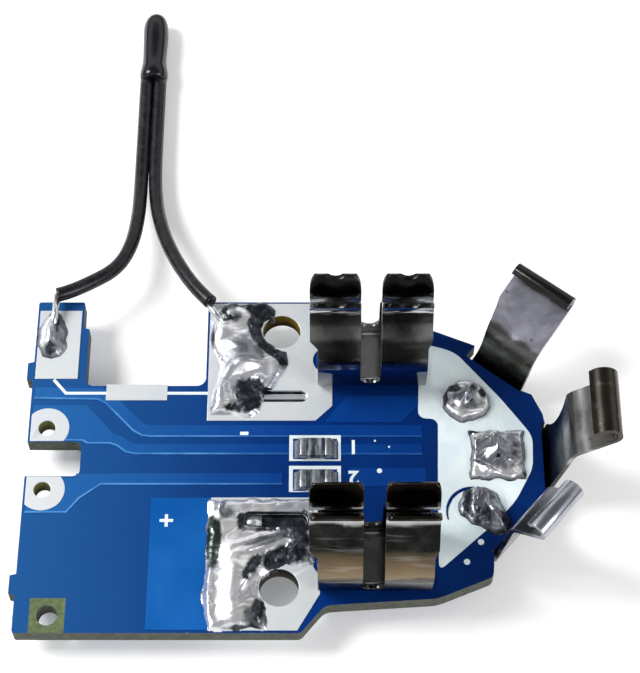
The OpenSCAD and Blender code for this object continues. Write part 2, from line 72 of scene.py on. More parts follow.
lens = bpy.data.cameras.new("camera")
lens.sensor_width = SENSOR
lens.lens = SENSOR * FOCAL_SHARE
lens.clip_start, lens.clip_end = 0.005, 5
camera = bpy.data.objects.new("camera", lens)
camera.location = AIM + EYE_DISTANCE * Vector((0, -math.cos(EYE_ELEVATION), math.sin(EYE_ELEVATION)))
camera.rotation_euler = (math.pi / 2 - EYE_ELEVATION, 0, 0)
scene.collection.objects.link(camera)
scene.camera = camera

world = bpy.data.worlds.new("studio")
scene.world = world
world.use_nodes = True
sky = world.node_tree
backdrop = sky.nodes["Background"]
where = sky.nodes.new("ShaderNodeTexCoord")
split = sky.nodes.new("ShaderNodeSeparateXYZ")
height = sky.nodes.new("ShaderNodeValToRGB")
bands = height.color_ramp.elements
bands[0].position, bands[1].position = 0.1, 1.0
bands[0].color, bands[1].color = (0.06, 0.06, 0.06, 1), (0.2, 0.2, 0.2, 1)
for place, grey in ((0.32, 0.95), (0.6, 1.05), (0.78, 0.25)):
    bands.new(place).color = (grey, grey, grey, 1)
sky.links.new(where.outputs["Generated"], split.inputs[0])
sky.links.new(split.outputs["Z"], height.inputs["Fac"])
sky.links.new(height.outputs["Color"], backdrop.inputs["Color"])


def softbox(name, at, aim, size, watts):
    """A square area lamp at a place in metres, turned to a point."""
    lamp = bpy.data.lights.new(name, "AREA")
    lamp.shape, lamp.size, lamp.energy = "SQUARE", size, watts
    holder = bpy.data.objects.new(name, lamp)
    holder.location = at
    holder.rotation_euler = (Vector(aim) - Vector(at)).to_track_quat("-Z", "Y").to_euler()
    scene.collection.objects.link(holder)


softbox("key", (-0.26, 0.06, 0.27), AIM, 0.16, 1.6)
softbox("fill", (0.26, -0.2, 0.2), AIM, 0.16, 0.6)

TABLE_Z = cad_low.z
bm = bmesh.new()
bmesh.ops.create_grid(bm, x_segments=1, y_segments=1, size=1.5,
                      matrix=Matrix.Translation((0, 0, TABLE_Z)))
table_mesh = bpy.data.meshes.new("table")
bm.to_mesh(table_mesh)
bm.free()
table = bpy.data.objects.new("table", table_mesh)
scene.collection.objects.link(table)


class Finish:
    """A material with its Principled shader, and short ways to add and join nodes."""

    def __init__(self, name, colour, roughness, metallic=0.0, **sockets):
        self.material = bpy.data.materials.new(name)
        self.material.use_nodes = True
        self.tree = self.material.node_tree
        self.shader = self.tree.nodes["Principled BSDF"]
        self.set("Base Color", (*colour, 1))
        self.set("Roughness", roughness)
        self.set("Metallic", metallic)
        for socket, value in sockets.items():
            self.set(socket.replace("_", " "), value)

    def set(self, socket, value):
        """Gives a socket of the shader one value."""
        self.shader.inputs[socket].default_value = value

    def node(self, kind, inputs=(), **settings):
        """A node of a kind, with its settings and with values or sockets for its inputs."""
        made = self.tree.nodes.new("ShaderNode" + kind)
        for key, value in settings.items():
            setattr(made, key, value)
        for key, value in dict(inputs).items():
            if isinstance(value, bpy.types.NodeSocket):
                self.tree.links.new(value, made.inputs[key])
            else:
                made.inputs[key].default_value = value
        return made

    def group(self, name, **inputs):
        """The Mask of a node group placed in this material with its own values."""
        made = self.tree.nodes.new("ShaderNodeGroup")
        made.node_tree = bpy.data.node_groups[name]
        for key, value in inputs.items():
            made.inputs[key].default_value = value
        return made.outputs["Mask"]

    def place(self):
        """Where the surface is, as X, Y and Z outputs."""
        return self.node("SeparateXYZ", {0: self.node("TexCoord").outputs["Object"]})

    def mix(self, mask, low, high):
        """A colour between low and high, each a colour or a socket."""
        made = self.node("Mix", data_type="RGBA")
        for key, value in (("Factor", mask), (6, low), (7, high)):
            if isinstance(value, bpy.types.NodeSocket):
                self.tree.links.new(value, made.inputs[key])
            elif isinstance(value, tuple):
                made.inputs[key].default_value = (*value, 1)
            else:
                made.inputs[key].default_value = value
        return made.outputs[2]

    def maths(self, operation, first, second=0.0):
        """The result of a sum on two values or sockets."""
        return self.node("Math", {0: first, 1: second}, operation=operation).outputs[0]

    def span(self, value, low, high, start=0.0, end=1.0):
        """value mapped from low..high to start..end, held at the ends."""
        return self.node("MapRange", {"Value": value, "From Min": low, "From Max": high,
                                      "To Min": start, "To Max": end}).outputs["Result"]

    def ramp(self, value, stops):
        """A colour that changes with value through stops, each (place, colour)."""
        made = self.node("ValToRGB", {0: value})
        bands = made.color_ramp.elements
        bands[0].position, bands[0].color = stops[0][0], (*stops[0][1], 1)
        bands[1].position, bands[1].color = stops[-1][0], (*stops[-1][1], 1)
        for place, colour in stops[1:-1]:
            bands.new(place).color = (*colour, 1)
        return made.outputs["Color"]

    def feed(self, socket, value):
        """Joins a socket to one of the shader's."""
        self.tree.links.new(value, self.shader.inputs[socket])

    def bump(self, height, distance, strength=1.0):
        """Relief of a height mask, with its depth in metres."""
        bump = self.node("Bump", {"Height": height, "Distance": distance, "Strength": strength})
        self.feed("Normal", bump.outputs["Normal"])


TABLE_GLOW = 0.12
pale = Finish("pale_table", (0.93, 0.93, 0.93), 0.9, Specular_IOR_Level=0.0)
path = pale.node("LightPath")
# the camera and the shiny metal see the table a little brighter than the lamps make it
seen = pale.maths("MAXIMUM", path.outputs["Is Camera Ray"], path.outputs["Is Glossy Ray"])
seen = pale.maths("MAXIMUM", seen, path.outputs["Is Transmission Ray"])
glow = pale.node("Emission", {"Strength": pale.maths("MULTIPLY", seen, TABLE_GLOW)})
both = pale.node("AddShader", {0: pale.shader.outputs[0], 1: glow.outputs[0]})
pale.tree.links.new(both.outputs[0], pale.tree.nodes["Material Output"].inputs["Surface"])
table_mesh.materials.append(pale.material)


# ---------------------------------------------------------------- laminate
# The board is 1.2 mm glass-epoxy laminate, routed out of a panel and coated blue on
# both faces. Its cut edges show the pale glass layers, and one rear corner is left
# uncoated round the tooling hole.

def new_group(name, inputs):
    """An empty shader node group with float inputs that puts out a Mask."""
    group = bpy.data.node_groups.new(name, "ShaderNodeTree")
    for key, value in inputs.items():
        group.interface.new_socket(key, in_out="INPUT", socket_type="NodeSocketFloat").default_value = value
    group.interface.new_socket("Mask", in_out="OUTPUT", socket_type="NodeSocketFloat")
    return group, group.nodes.new("NodeGroupInput"), group.nodes.new("NodeGroupOutput")


def cloud_mask(group, given, result, vector, detail):
    """Noise read at vector, held between the group's Low and High and put out as its Mask."""
    cloud = group.nodes.new("ShaderNodeTexNoise")
    cloud.inputs["Detail"].default_value = detail
    ramp = group.nodes.new("ShaderNodeMapRange")
    for source, target in ((vector, cloud.inputs["Vector"]), (cloud.outputs["Fac"], ramp.inputs["Value"]),
                           (given.outputs["Low"], ramp.inputs["From Min"]),
                           (given.outputs["High"], ramp.inputs["From Max"]),
                           (ramp.outputs["Result"], result.inputs["Mask"])):
        group.links.new(source, target)
    return cloud


# Cloudy patches: a soft mask that varies over the surface
group, given, result = new_group("patches", {"Scale": 500.0, "Low": 0.4, "High": 0.6, "Warp": 0.5})
spot = group.nodes.new("ShaderNodeTexCoord")
cloud = cloud_mask(group, given, result, spot.outputs["Object"], 4)
group.links.new(given.outputs["Scale"], cloud.inputs["Scale"])
group.links.new(given.outputs["Warp"], cloud.inputs["Distortion"])

# Dust: small scattered specks, in a share of the cells
group, given, result = new_group("dust", {"Scale": 900.0, "Size": 0.12, "Share": 0.3})
spot = group.nodes.new("ShaderNodeTexCoord")
cells = group.nodes.new("ShaderNodeTexVoronoi")
tint = group.nodes.new("ShaderNodeSeparateColor")
near, some, both = (group.nodes.new("ShaderNodeMath") for _ in range(3))
near.operation = some.operation = "LESS_THAN"
both.operation = "MULTIPLY"
for source, target in ((spot.outputs["Object"], cells.inputs["Vector"]),
                       (given.outputs["Scale"], cells.inputs["Scale"]),
                       (cells.outputs["Distance"], near.inputs[0]), (given.outputs["Size"], near.inputs[1]),
                       (cells.outputs["Color"], tint.inputs[0]), (tint.outputs[0], some.inputs[0]),
                       (given.outputs["Share"], some.inputs[1]), (near.outputs[0], both.inputs[0]),
                       (some.outputs[0], both.inputs[1]), (both.outputs[0], result.inputs["Mask"])):
    group.links.new(source, target)

# Scratches: fine lines drawn out along X
group, given, result = new_group("scratches", {"Across": 3000.0, "Along": 200.0, "Low": 0.55, "High": 0.75})
spot = group.nodes.new("ShaderNodeTexCoord")
drawn_out = group.nodes.new("ShaderNodeMapping")
pull = group.nodes.new("ShaderNodeCombineXYZ")
for way, axis in (("Along", "X"), ("Across", "Y"), ("Across", "Z")):
    group.links.new(given.outputs[way], pull.inputs[axis])
group.links.new(spot.outputs["Object"], drawn_out.inputs["Vector"])
group.links.new(pull.outputs[0], drawn_out.inputs["Scale"])
cloud_mask(group, given, result, drawn_out.outputs[0], 3).inputs["Scale"].default_value = 1


def fade(finish, tone, x, start, end, first, last, colour):
    """The tone turned towards a colour by a share, from first to last between two X in mm."""
    return finish.mix(finish.span(x, start * MM, end * MM, first, last), tone, colour)


MASK_DARK = (0.001, 0.018, 0.125)
MASK_MID = (0.001, 0.026, 0.155)
MASK_REAR = (0.012, 0.075, 0.23)
GLASS_PALE = (0.125, 0.135, 0.115)
GLASS_DARK = (0.03, 0.03, 0.02)
MASK_NOSE = (0.001, 0.012, 0.07)
BARE_OLIVE, BARE_PALE = (0.07, 0.10, 0.045), (0.13, 0.16, 0.08)
REAR_FADE = (-16, 1, 0.9, 0.0)
# Place and reach of each hole, and the colours of its wall above and below: mustard flux stain in the minus
# hole and olive wall in the tap holes above, painted shade darker below, and in the plus hole a painted
# shadow, nearly black with the shaded table's tan below
HOLE_STAIN_AND_SHADE = (
    ((0.15, 9.05, 1.4), (0.17, 0.12, 0.006), (0.035, 0.015, 0.003)),
    ((0.15, -9.25, 1.4), (0.012, 0.014, 0.01), (0.06, 0.055, 0.045)),
    ((-15.0, 1.85, 0.7), (0.16, 0.16, 0.04), (0.07, 0.07, 0.02)),
    ((-15.0, -2.55, 0.7), (0.16, 0.16, 0.04), (0.07, 0.07, 0.02)))
BARE_LOW, BARE_HIGH = (-15.2 * MM, -13.2 * MM), (-13.0 * MM, -9.92 * MM)

laminate = Finish("blue_laminate", MASK_DARK, 0.3, Specular_IOR_Level=0.07)
geometry = laminate.node("NewGeometry")
facing = laminate.node("SeparateXYZ", {0: geometry.outputs["Normal"]})
flat = laminate.maths("GREATER_THAN", laminate.maths("ABSOLUTE", facing.outputs["Z"]), 0.7)
place = laminate.place()
in_x = laminate.maths("MULTIPLY", laminate.maths("GREATER_THAN", place.outputs["X"], BARE_LOW[0]),
                      laminate.maths("LESS_THAN", place.outputs["X"], BARE_HIGH[0]))
bare = laminate.maths("MULTIPLY", in_x, laminate.maths("LESS_THAN", place.outputs["Y"], BARE_HIGH[1]))
coated = laminate.maths("MULTIPLY", flat, laminate.maths("SUBTRACT", 1.0, bare))
clouds = laminate.group("patches", Scale=260.0, Low=0.3, High=0.7)
blue = laminate.mix(clouds, MASK_DARK, MASK_MID)
# the coating is thinner, and so paler, towards the rear edge
blue = fade(laminate, blue, place.outputs["X"], *REAR_FADE, MASK_REAR)
blue = fade(laminate, blue, place.outputs["X"], 2, 12, 0.0, 0.6, MASK_NOSE)
weave = laminate.node("TexWave", {"Scale": 1500.0, "Distortion": 2.0, "Detail": 2.0}, bands_direction="Z")
fray = laminate.group("patches", Scale=2500.0, Low=0.35, High=0.65)
layers = laminate.mix(laminate.maths("MULTIPLY", weave.outputs["Fac"], 0.5), GLASS_PALE, GLASS_DARK)
edge = laminate.mix(laminate.maths("MULTIPLY", fray, 0.5), layers, GLASS_DARK)
olive = laminate.mix(fray, BARE_OLIVE, BARE_PALE)
# painted shade: each wall turns from its upper colour to its lower one towards the bottom
for (hole_x, hole_y, reach), upper, lower in HOLE_STAIN_AND_SHADE:
    off_x = laminate.maths("SUBTRACT", place.outputs["X"], hole_x * MM)
    off_y = laminate.maths("SUBTRACT", place.outputs["Y"], hole_y * MM)
    away = laminate.maths("SQRT", laminate.maths("ADD", laminate.maths("MULTIPLY", off_x, off_x),
                                                 laminate.maths("MULTIPLY", off_y, off_y)))
    wall = laminate.mix(laminate.span(place.outputs["Z"], 0.2 * MM, 0.9 * MM), lower, upper)
    edge = laminate.mix(laminate.maths("LESS_THAN", away, reach * MM), edge, wall)
core = laminate.mix(laminate.maths("MULTIPLY", flat, bare), edge, olive)
specks = laminate.group("dust", Scale=1100.0, Size=0.1, Share=0.05)
clean = laminate.mix(coated, core, blue)
laminate.feed("Base Color", laminate.mix(laminate.maths("MULTIPLY", specks, 0.35),
                                         clean, (0.5, 0.55, 0.6)))
laminate.feed("Roughness", laminate.span(coated, 0, 1, 0.65, 0.3))
laminate.bump(fray, 0.00001, 0.4)
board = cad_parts["board"]
board.data.materials.clear()
board.data.materials.append(laminate.material)
BOARD_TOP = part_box("board")[1].z / MM


# ---------------------------------------------------------------- copper under the mask
# The blue coating lies over 0.035 mm copper, so every pour and trace stands a little
# proud and reads as a brighter blue, with a light line along its lower edge that is partly
# the coating thinning and partly a painted highlight.

def make_piece(name, bm, material):
    """A finished object at the origin, from a mesh drawn in millimetres."""
    bmesh.ops.scale(bm, vec=(MM, MM, MM), verts=bm.verts)
    bmesh.ops.recalc_face_normals(bm, faces=bm.faces)
    mesh = bpy.data.meshes.new(name)
    bm.to_mesh(mesh)
    bm.free()
    mesh.materials.append(material)
    piece = bpy.data.objects.new(name, mesh)
    scene.collection.objects.link(piece)
    return piece


def pull_up(bm, faces, height):
    """Extrudes faces straight up; returns the new top faces."""
    made = bmesh.ops.extrude_face_region(bm, geom=faces)["geom"]
    bmesh.ops.translate(bm, vec=(0, 0, height), verts=[g for g in made if isinstance(g, bmesh.types.BMVert)])
    return [g for g in made if isinstance(g, bmesh.types.BMFace)]


def plate(bm, outline, low, high, corner=0.0, rim=0.0):
    """A flat plate of the outline, its corners rounded, with a sloped rim, added to bm."""
    before = set(bm.faces)
    face = bm.faces.new([bm.verts.new((x, y, low)) for x, y in outline])
    if corner:
        bmesh.ops.bevel(bm, geom=list(face.verts), offset=corner, offset_type="OFFSET", segments=4,
                        profile=0.5, affect="VERTICES", material=-1)
        face = next(f for f in bm.faces if f not in before)
    top = pull_up(bm, [face], high - low)
    if rim:
        shoulder = {v for f in top for v in f.verts}
        bmesh.ops.inset_region(bm, faces=top, thickness=rim, depth=0.0, use_even_offset=True)
        crown = {v for f in top for v in f.verts}
        bmesh.ops.translate(bm, vec=(0, 0, (low - high) * 0.75), verts=list(shoulder - crown))


def strip(bm, points, width, low, high, side=0.0):
    """A raised strip along points, added to bm as one band of quads; side moves it off the line."""
    line = [Vector(p) for p in points]
    rails = []
    for i, p in enumerate(line):
        a = (p - line[i - 1]).normalized() if i else (line[1] - p).normalized()
        b = (line[i + 1] - p).normalized() if i < len(line) - 1 else a
        mitre = (a + b).normalized()
        across = Vector((-mitre.y, mitre.x)) / max(mitre.dot(a), 0.5)
        rails.append([bm.verts.new((*(p + across * (side + k * width / 2)), low)) for k in (1, -1)])
    pull_up(bm, [bm.faces.new((a, b, d, c)) for (a, b), (c, d) in zip(rails, rails[1:])], high - low)


# Every sheet on the board starts just under its face, and no two tops are level
SUNK, POUR_DROP = 0.01, 0.004
COPPER_RISE = 0.04
TRACE = BOARD_TOP - SUNK, BOARD_TOP + COPPER_RISE
UPPER_TRACE = [
    (-16.0, 4.09), (-11.82, 4.01), (-11.3, 3.72), (-9.4, 1.7), (-8.8, 1.34), (-8.2, 1.28), (9.3, 1.28)]
MIDDLE_TRACE = [
    (-13.9, 1.02), (-12.65, 1.0), (-12.3, 0.79), (-10.86, 0.79), (-10.4, 0.62), (-9.8, 0.16), (-9.2, 0.03),
    (9.3, 0.0)]
bm = bmesh.new()
strip(bm, UPPER_TRACE, 0.8, *TRACE, side=0.4)
strip(bm, MIDDLE_TRACE, 0.7, *TRACE, side=0.35)
strip(bm, [(-10.6, -2.13), (0.3, -2.13)], 0.75, *TRACE, side=0.375)
POURS = [
    [(-16.0, 3.55), (-16.0, 2.9), (-15.0, 2.75), (-14.1, 1.85), (-14.2, 0.95), (-12.6, 0.95), (-12.5, 0.85),
     (-10.9, 0.85), (-10.3, 0.7), (-9.9, 0.6), (-12.5, 3.55)],
    [(-16.0, -4.09), (-13.38, -4.09), (-12.62, -3.12), (-11.3, -2.13), (-10.5, -2.13), (-10.5, -1.4),
     (-12.9, -1.4), (-12.9, -1.7), (-14.1, -1.7), (-14.1, -2.55), (-15.0, -3.45), (-16.0, -3.5)],
    [(3.0, 2.3), (8.0, 2.3), (9.1, 3.5), (9.1, 4.2), (4.4, 4.2)],
    [(4.6, -2.3), (9.5, -2.3), (9.5, -1.0), (4.6, -1.0)]]
for outline in POURS:
    plate(bm, outline, TRACE[0], TRACE[1] - POUR_DROP)


def coated_copper(name, scale, low, high, *fades):
    """Blue coating over copper: clouded between two blues, then faded along X."""
    finish = Finish(name, MASK_MID, 0.28, Specular_IOR_Level=0.07)
    clouds = finish.group("patches", Scale=scale, Low=0.3, High=0.7)
    place = finish.place()
    tone = finish.mix(clouds, low, high)
    for along in fades:
        tone = fade(finish, tone, place.outputs["X"], *along)
    finish.feed("Base Color", tone)
    ripple = finish.group("patches", Scale=1500.0, Low=0.3, High=0.7)
    finish.feed("Roughness", finish.span(ripple, 0, 1, 0.24, 0.34))
    finish.bump(ripple, 0.000004, 0.5)
    return finish


pour_finish = coated_copper("blue_over_copper", 300.0, (0.002, 0.034, 0.20), (0.003, 0.045, 0.23),
                            (-2, 8, 0.0, 0.6, (0.001, 0.024, 0.14)), (*REAR_FADE, (0.016, 0.105, 0.30)))
pours = make_piece("traces_under_mask", bm, pour_finish.material)
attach(pours, "root")

# The plus pour runs out from its land as one broad brighter field
bm = bmesh.new()
plate(bm, [(-8.03, -12.01), (-4.1, -12.01), (-4.1, -3.12), (-8.03, -3.12)], *TRACE)
bright = coated_copper("blue_over_plus_pour", 200.0, (0.003, 0.07, 0.28), (0.01, 0.105, 0.36))
plus_pour = make_piece("plus_pour_under_mask", bm, bright.material)
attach(plus_pour, "root")

# A light line runs along a trace's lower edge where the coating steps down: partly the coating thinning
# there, partly a painted highlight on the front-facing step
bm = bmesh.new()
LINE = BOARD_TOP - SUNK, BOARD_TOP + COPPER_RISE + 0.006
LINE_WIDTH = 0.11
LOWER_EDGE = [(-16.0, -4.09), (-13.38, -4.09), (-12.62, -3.12), (-11.3, -2.13), (0.3, -2.13)]
for route in (UPPER_TRACE, MIDDLE_TRACE, LOWER_EDGE):
    strip(bm, route, LINE_WIDTH, *LINE)
edge_line = Finish("thin_coating_edge_highlight", MASK_MID, 0.3, Specular_IOR_Level=0.2)
faded = edge_line.group("patches", Scale=500.0, Low=0.3, High=0.7)
place = edge_line.place()
# partly painted highlight: only the front edges get the light line
lit = edge_line.mix(faded, (0.02, 0.12, 0.36), (0.08, 0.26, 0.55))
edge_line.feed("Base Color", fade(edge_line, lit, place.outputs["X"], -5, 1, 0.0, 0.85, (0.003, 0.05, 0.22)))
edge_lines = make_piece("trace_edges_under_mask", bm, edge_line.material)
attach(edge_lines, "root")


# ---------------------------------------------------------------- white print
# A white ink is screened over the blue: a broad field round the nose lands, thin
# lines beside the notch and a frame round each chip. Its marks are a plus, a minus, 1 and 2.

def baked(thing):
    """The mesh that an object's curve or modifiers come to; the object itself is removed."""
    mesh = bpy.data.meshes.new_from_object(thing.evaluated_get(bpy.context.evaluated_depsgraph_get()))
    bpy.data.objects.remove(thing)
    return mesh


INK = BOARD_TOP - SUNK, BOARD_TOP + 0.06
INK_RISE = 0.06
SIDE_LINE, FRAME_LINE, CORNER_DROP = 0.2, 0.24, 0.003
bm = bmesh.new()
nose_field = [
    (9.3, 8.15), (9.07, 2.6), (10.37, 2.54), (10.24, -1.71), (10.11, -8.12), (13.9, -4.7), (15.15, -3.3),
    (16.35, -1.0), (16.45, 1.3), (14.5, 4.05), (11.7, 7.45), (10.6, 7.9)]
plate(bm, nose_field, BOARD_TOP - SUNK, BOARD_TOP + 0.035, 0.5, 0.03)
strip(bm, [(-14.8, 5.43), (-13.94, 4.42), (-11.2, 4.42)], SIDE_LINE, *INK)
strip(bm, [(-7.3, 4.42), (-4.64, 4.42)], SIDE_LINE, *INK)
DOTS = ((6.51, -1.21, 0.17), (6.25, 0.94, 0.07), (7.15, 0.5, 0.07), (12.8, -6.16, 0.2), (11.87, -7.51, 0.2))
for x, y, r in DOTS:
    disc = bmesh.ops.create_circle(bm, cap_ends=True, segments=12, radius=r,
                                   matrix=Matrix.Translation((x, y, INK[0])))
    pull_up(bm, list({f for v in disc["verts"] for f in v.link_faces}), INK_RISE)
for low_y, high_y in ((-0.39, 1.21), (-2.59, -0.99)):
    for y in (low_y, high_y):
        strip(bm, [(0.72, y), (4.04, y)], FRAME_LINE, *INK)
    for x in (0.84, 3.92):
        strip(bm, [(x, low_y - 0.1), (x, high_y + 0.1)], FRAME_LINE, INK[0], INK[1] - CORNER_DROP)
MARKS = (("1", 4.85, 0.95, 1.0), ("2", 4.85, -1.25, 1.0), ("-", -2.2, 1.9, 1.4), ("+", -7.0, -4.1, 1.2))
for mark, x, y, tall in MARKS:
    letter = bpy.data.curves.new("mark", "FONT")
    letter.body, letter.size, letter.extrude, letter.offset = mark, tall * 1.4, INK_RISE / 2, 0.03
    letter.align_x = "CENTER"
    drawn = bpy.data.objects.new("mark", letter)
    scene.collection.objects.link(drawn)
    shape = baked(drawn)
    # the print reads from the thermistor side, so each mark is turned round
    shape.transform(Matrix.Translation((x, y, BOARD_TOP + INK_RISE / 2)) @ Matrix.Rotation(math.pi, 4, "Z"))
    bm.from_mesh(shape)
    bpy.data.meshes.remove(shape)

# Beside the lowest nose joint the print leaves a blue crescent, drawn over the land's rim
crescent = bmesh.new()
GAP_X, GAP_Y, GAP_R = 12.45, -4.15, 1.72
GAP_WIDTHS = (0.08, 0.13, 0.18, 0.2, 0.22, 0.22, 0.22, 0.22, 0.2, 0.18, 0.15, 0.12, 0.1, 0.08)
GAP_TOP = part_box("contact_land_high")[1].z / MM + 0.012
arc = [(GAP_X + GAP_R * math.cos(math.radians(turn)), GAP_Y + GAP_R * math.sin(math.radians(turn)))
       for turn in range(70, 200, 9)]
for first, second, width in zip(arc, arc[1:], GAP_WIDTHS):
    strip(crescent, [first, second], width, BOARD_TOP, GAP_TOP)
gap = make_piece("gap_in_print", crescent, laminate.material)
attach(gap, "root")
ink = Finish("white_ink", (0.74, 0.78, 0.78), 0.55, Specular_IOR_Level=0.4)
clouds = ink.group("patches", Scale=700.0, Low=0.35, High=0.75)
worn = ink.group("patches", Scale=4000.0, Low=0.62, High=0.72)
white = ink.mix(clouds, (0.58, 0.68, 0.72), (0.70, 0.76, 0.76))
ink.feed("Base Color", ink.mix(ink.maths("MULTIPLY", worn, 0.25), white, (0.35, 0.45, 0.6)))
ink.bump(clouds, 0.000006, 0.5)
print_lines = make_piece("white_print", bm, ink.material)
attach(print_lines, "root")


# ---------------------------------------------------------------- tinned lands
# Every open land is copper levelled with tin: smooth, pale and slightly clouded. The
# holes are plated; flux has run down some walls, which are mustard, and painted shade darkens the walls
# towards the bottom.

tin = Finish("tinned_land", (0.6, 0.62, 0.66), 0.34, metallic=0.5)
clouds = tin.group("patches", Scale=600.0, Low=0.3, High=0.7)
tin.feed("Base Color", tin.mix(clouds, (0.62, 0.66, 0.70), (0.78, 0.81, 0.82)))
grain = tin.group("patches", Scale=5000.0, Low=0.3, High=0.7)
tin.feed("Roughness", tin.span(clouds, 0, 1, 0.42, 0.3))
tin.bump(grain, 0.000004, 0.35)

# Points of a CAD mesh that lie this close, in mm, are one
SAME_PLACE = 0.0005


def in_millimetres(node):
    """A CAD node's mesh with its points merged, in millimetres."""
    bm = bmesh.new()
    bm.from_mesh(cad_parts[node].data)
    bmesh.ops.scale(bm, vec=(1 / MM,) * 3, verts=bm.verts)
    bmesh.ops.remove_doubles(bm, verts=bm.verts, dist=SAME_PLACE)
    return bm


def copy_of(node):
    """A merged copy of a CAD node's mesh with its flat faces made whole."""
    bm = in_millimetres(node)
    bmesh.ops.dissolve_limit(bm, angle_limit=math.radians(0.4), verts=bm.verts, edges=bm.edges)
    return bm


def shade_smooth(bm):
    """Shades every face smooth."""
    for face in bm.faces:
        face.smooth = True


def soften(bm, radius, segments=2, angle=30):
    """Rounds every edge sharper than angle."""
    sharp = [e for e in bm.edges if e.is_manifold and e.calc_face_angle(0) > math.radians(angle)]
    bmesh.ops.bevel(bm, geom=sharp, offset=radius, offset_type="OFFSET", segments=segments, profile=0.5,
                    affect="EDGES", clamp_overlap=True, material=-1)
    shade_smooth(bm)


def even_normals(piece):
    """Keeps the flats flat beside their rounded edges."""
    weigh = piece.modifiers.new("even_normals", "WEIGHTED_NORMAL")
    weigh.keep_sharp = True
    weigh.weight = 80


LANDS = [
    "minus_copper", "plus_copper", "clip_lands", "thermistor_land", "side_land", "tap_land_upper",
    "tap_land_lower", "contact_land_temp", "contact_land_mid", "contact_land_high", "chip_lands"]
# The clips' lands wear the blue coating as painted shade for the shadow under the clips, the chips' lands
# are coated right up to their joints, and the print covers the contacts'
LAND_COVER_AND_SHADE = {node: ink for node in LANDS if node.startswith("contact")}
# painted shade: the coating's blue on the clip lands
LAND_COVER_AND_SHADE["clip_lands"] = LAND_COVER_AND_SHADE["chip_lands"] = pour_finish
LAND_EDGE = 0.02
for node in LANDS:
    bm = copy_of(node)
    soften(bm, LAND_EDGE)
    land = make_piece(node + "_tinned", bm, LAND_COVER_AND_SHADE.get(node, tin).material)
    even_normals(land)
    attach(land, "root")
    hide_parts(node)


# ---------------------------------------------------------------- power clips
# Two tulip clips grip the tool's blades. Each is one nickel-plated copper sheet,
# 0.3 mm thick, folded up from its floor, pinched together and flared at the lips,
# with tails soldered through the board.

def nickel(name, low, high, stops, roughness):
    """Nickel plate, with painted light laid on by height from low to high, in mm, and worn with scratches
    and specks.
    """
    finish = Finish(name, (0.5, 0.5, 0.5), roughness, metallic=1.0)
    place = finish.place()
    clouds = finish.group("patches", Scale=450.0, Low=0.35, High=0.7)
    waver = finish.span(clouds, 0, 1, -0.12 * MM, 0.12 * MM)
    level = finish.span(finish.maths("ADD", place.outputs["Z"], waver), low * MM, high * MM)
    # painted light: the plate's tone follows its height, for reflections, highlights and shade
    tone = finish.ramp(level, [((at - low) / (high - low), colour) for at, colour in stops])
    lines = finish.group("scratches", Across=2600.0, Along=300.0, Low=0.58, High=0.72)
    specks = finish.group("dust", Scale=1400.0, Size=0.14, Share=0.06)
    blotch = finish.group("patches", Scale=900.0, Low=0.45, High=0.75)
    dulled = finish.mix(finish.maths("MULTIPLY", blotch, 0.3), tone, (0.06, 0.06, 0.055))
    marked = finish.mix(finish.maths("MULTIPLY", lines, 0.25), dulled, (0.3, 0.3, 0.29))
    speckled = finish.mix(finish.maths("MULTIPLY", specks, 0.6), marked, (0.04, 0.04, 0.04))
    finish.feed("Base Color", speckled)
    fine = finish.group("patches", Scale=6000.0, Low=0.3, High=0.7)
    finish.feed("Roughness", finish.span(clouds, 0, 1, roughness, roughness + 0.12))
    finish.bump(fine, 0.000003, 0.3)
    return finish


def grey(value, warmth=0.0):
    """A grey, with its red raised and its blue lowered by a share."""
    return value * (1 + warmth), value, value * (1 - warmth)


SHEET_EDGE = 0.045
# Painted light on the plate at each height, in mm: near-black painted shade on the lips, painted highlight
# bands at the pinch and on the belly, and lower down painted reflections, blue on the minus clip and brown
# on the plus clip
CLIP_PAINTED_LIGHT = {
    "clip_minus": [
        (1.2, grey(0.45)), (2.0, grey(0.3)), (3.6, (0.05, 0.07, 0.12)), (4.6, (0.2, 0.22, 0.3)),
        (5.4, grey(0.05)), (6.5, grey(0.09)), (6.8, grey(0.34)), (7.5, grey(0.3)), (7.7, grey(0.12)),
        (8.2, grey(0.05)), (8.35, grey(0.5)), (8.75, grey(0.55)), (8.95, grey(0.1)), (9.2, grey(0.03)),
        (10.3, grey(0.02))],
    "clip_plus": [
        (1.2, grey(0.2)), (2.0, grey(0.06)), (4.3, (0.02, 0.015, 0.01)), (4.7, (0.19, 0.145, 0.09)),
        (5.6, (0.12, 0.085, 0.05)), (6.3, (0.05, 0.042, 0.024)), (6.6, grey(0.008)), (8.15, grey(0.01)),
        (8.35, grey(0.4)), (8.75, grey(0.3)), (8.95, grey(0.06)), (9.2, grey(0.03, 0.2)),
        (10.3, grey(0.025, 0.2))]}
for node, tones in CLIP_PAINTED_LIGHT.items():
    bm = copy_of(node)
    soften(bm, SHEET_EDGE)
    metal = nickel(node + "_nickel_plate_painted_light", 1.0, 10.5, tones, 0.12)
    clip = make_piece(node + "_sheet", bm, metal.material)
    even_normals(clip)
    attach(clip, "root")
    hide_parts(node)


# ---------------------------------------------------------------- spring contacts
# Three stamped leaves round the nose touch the charger and tool. Each is one spring
# sheet with a foot under the board, a pin up through its joint, and a rolled head.

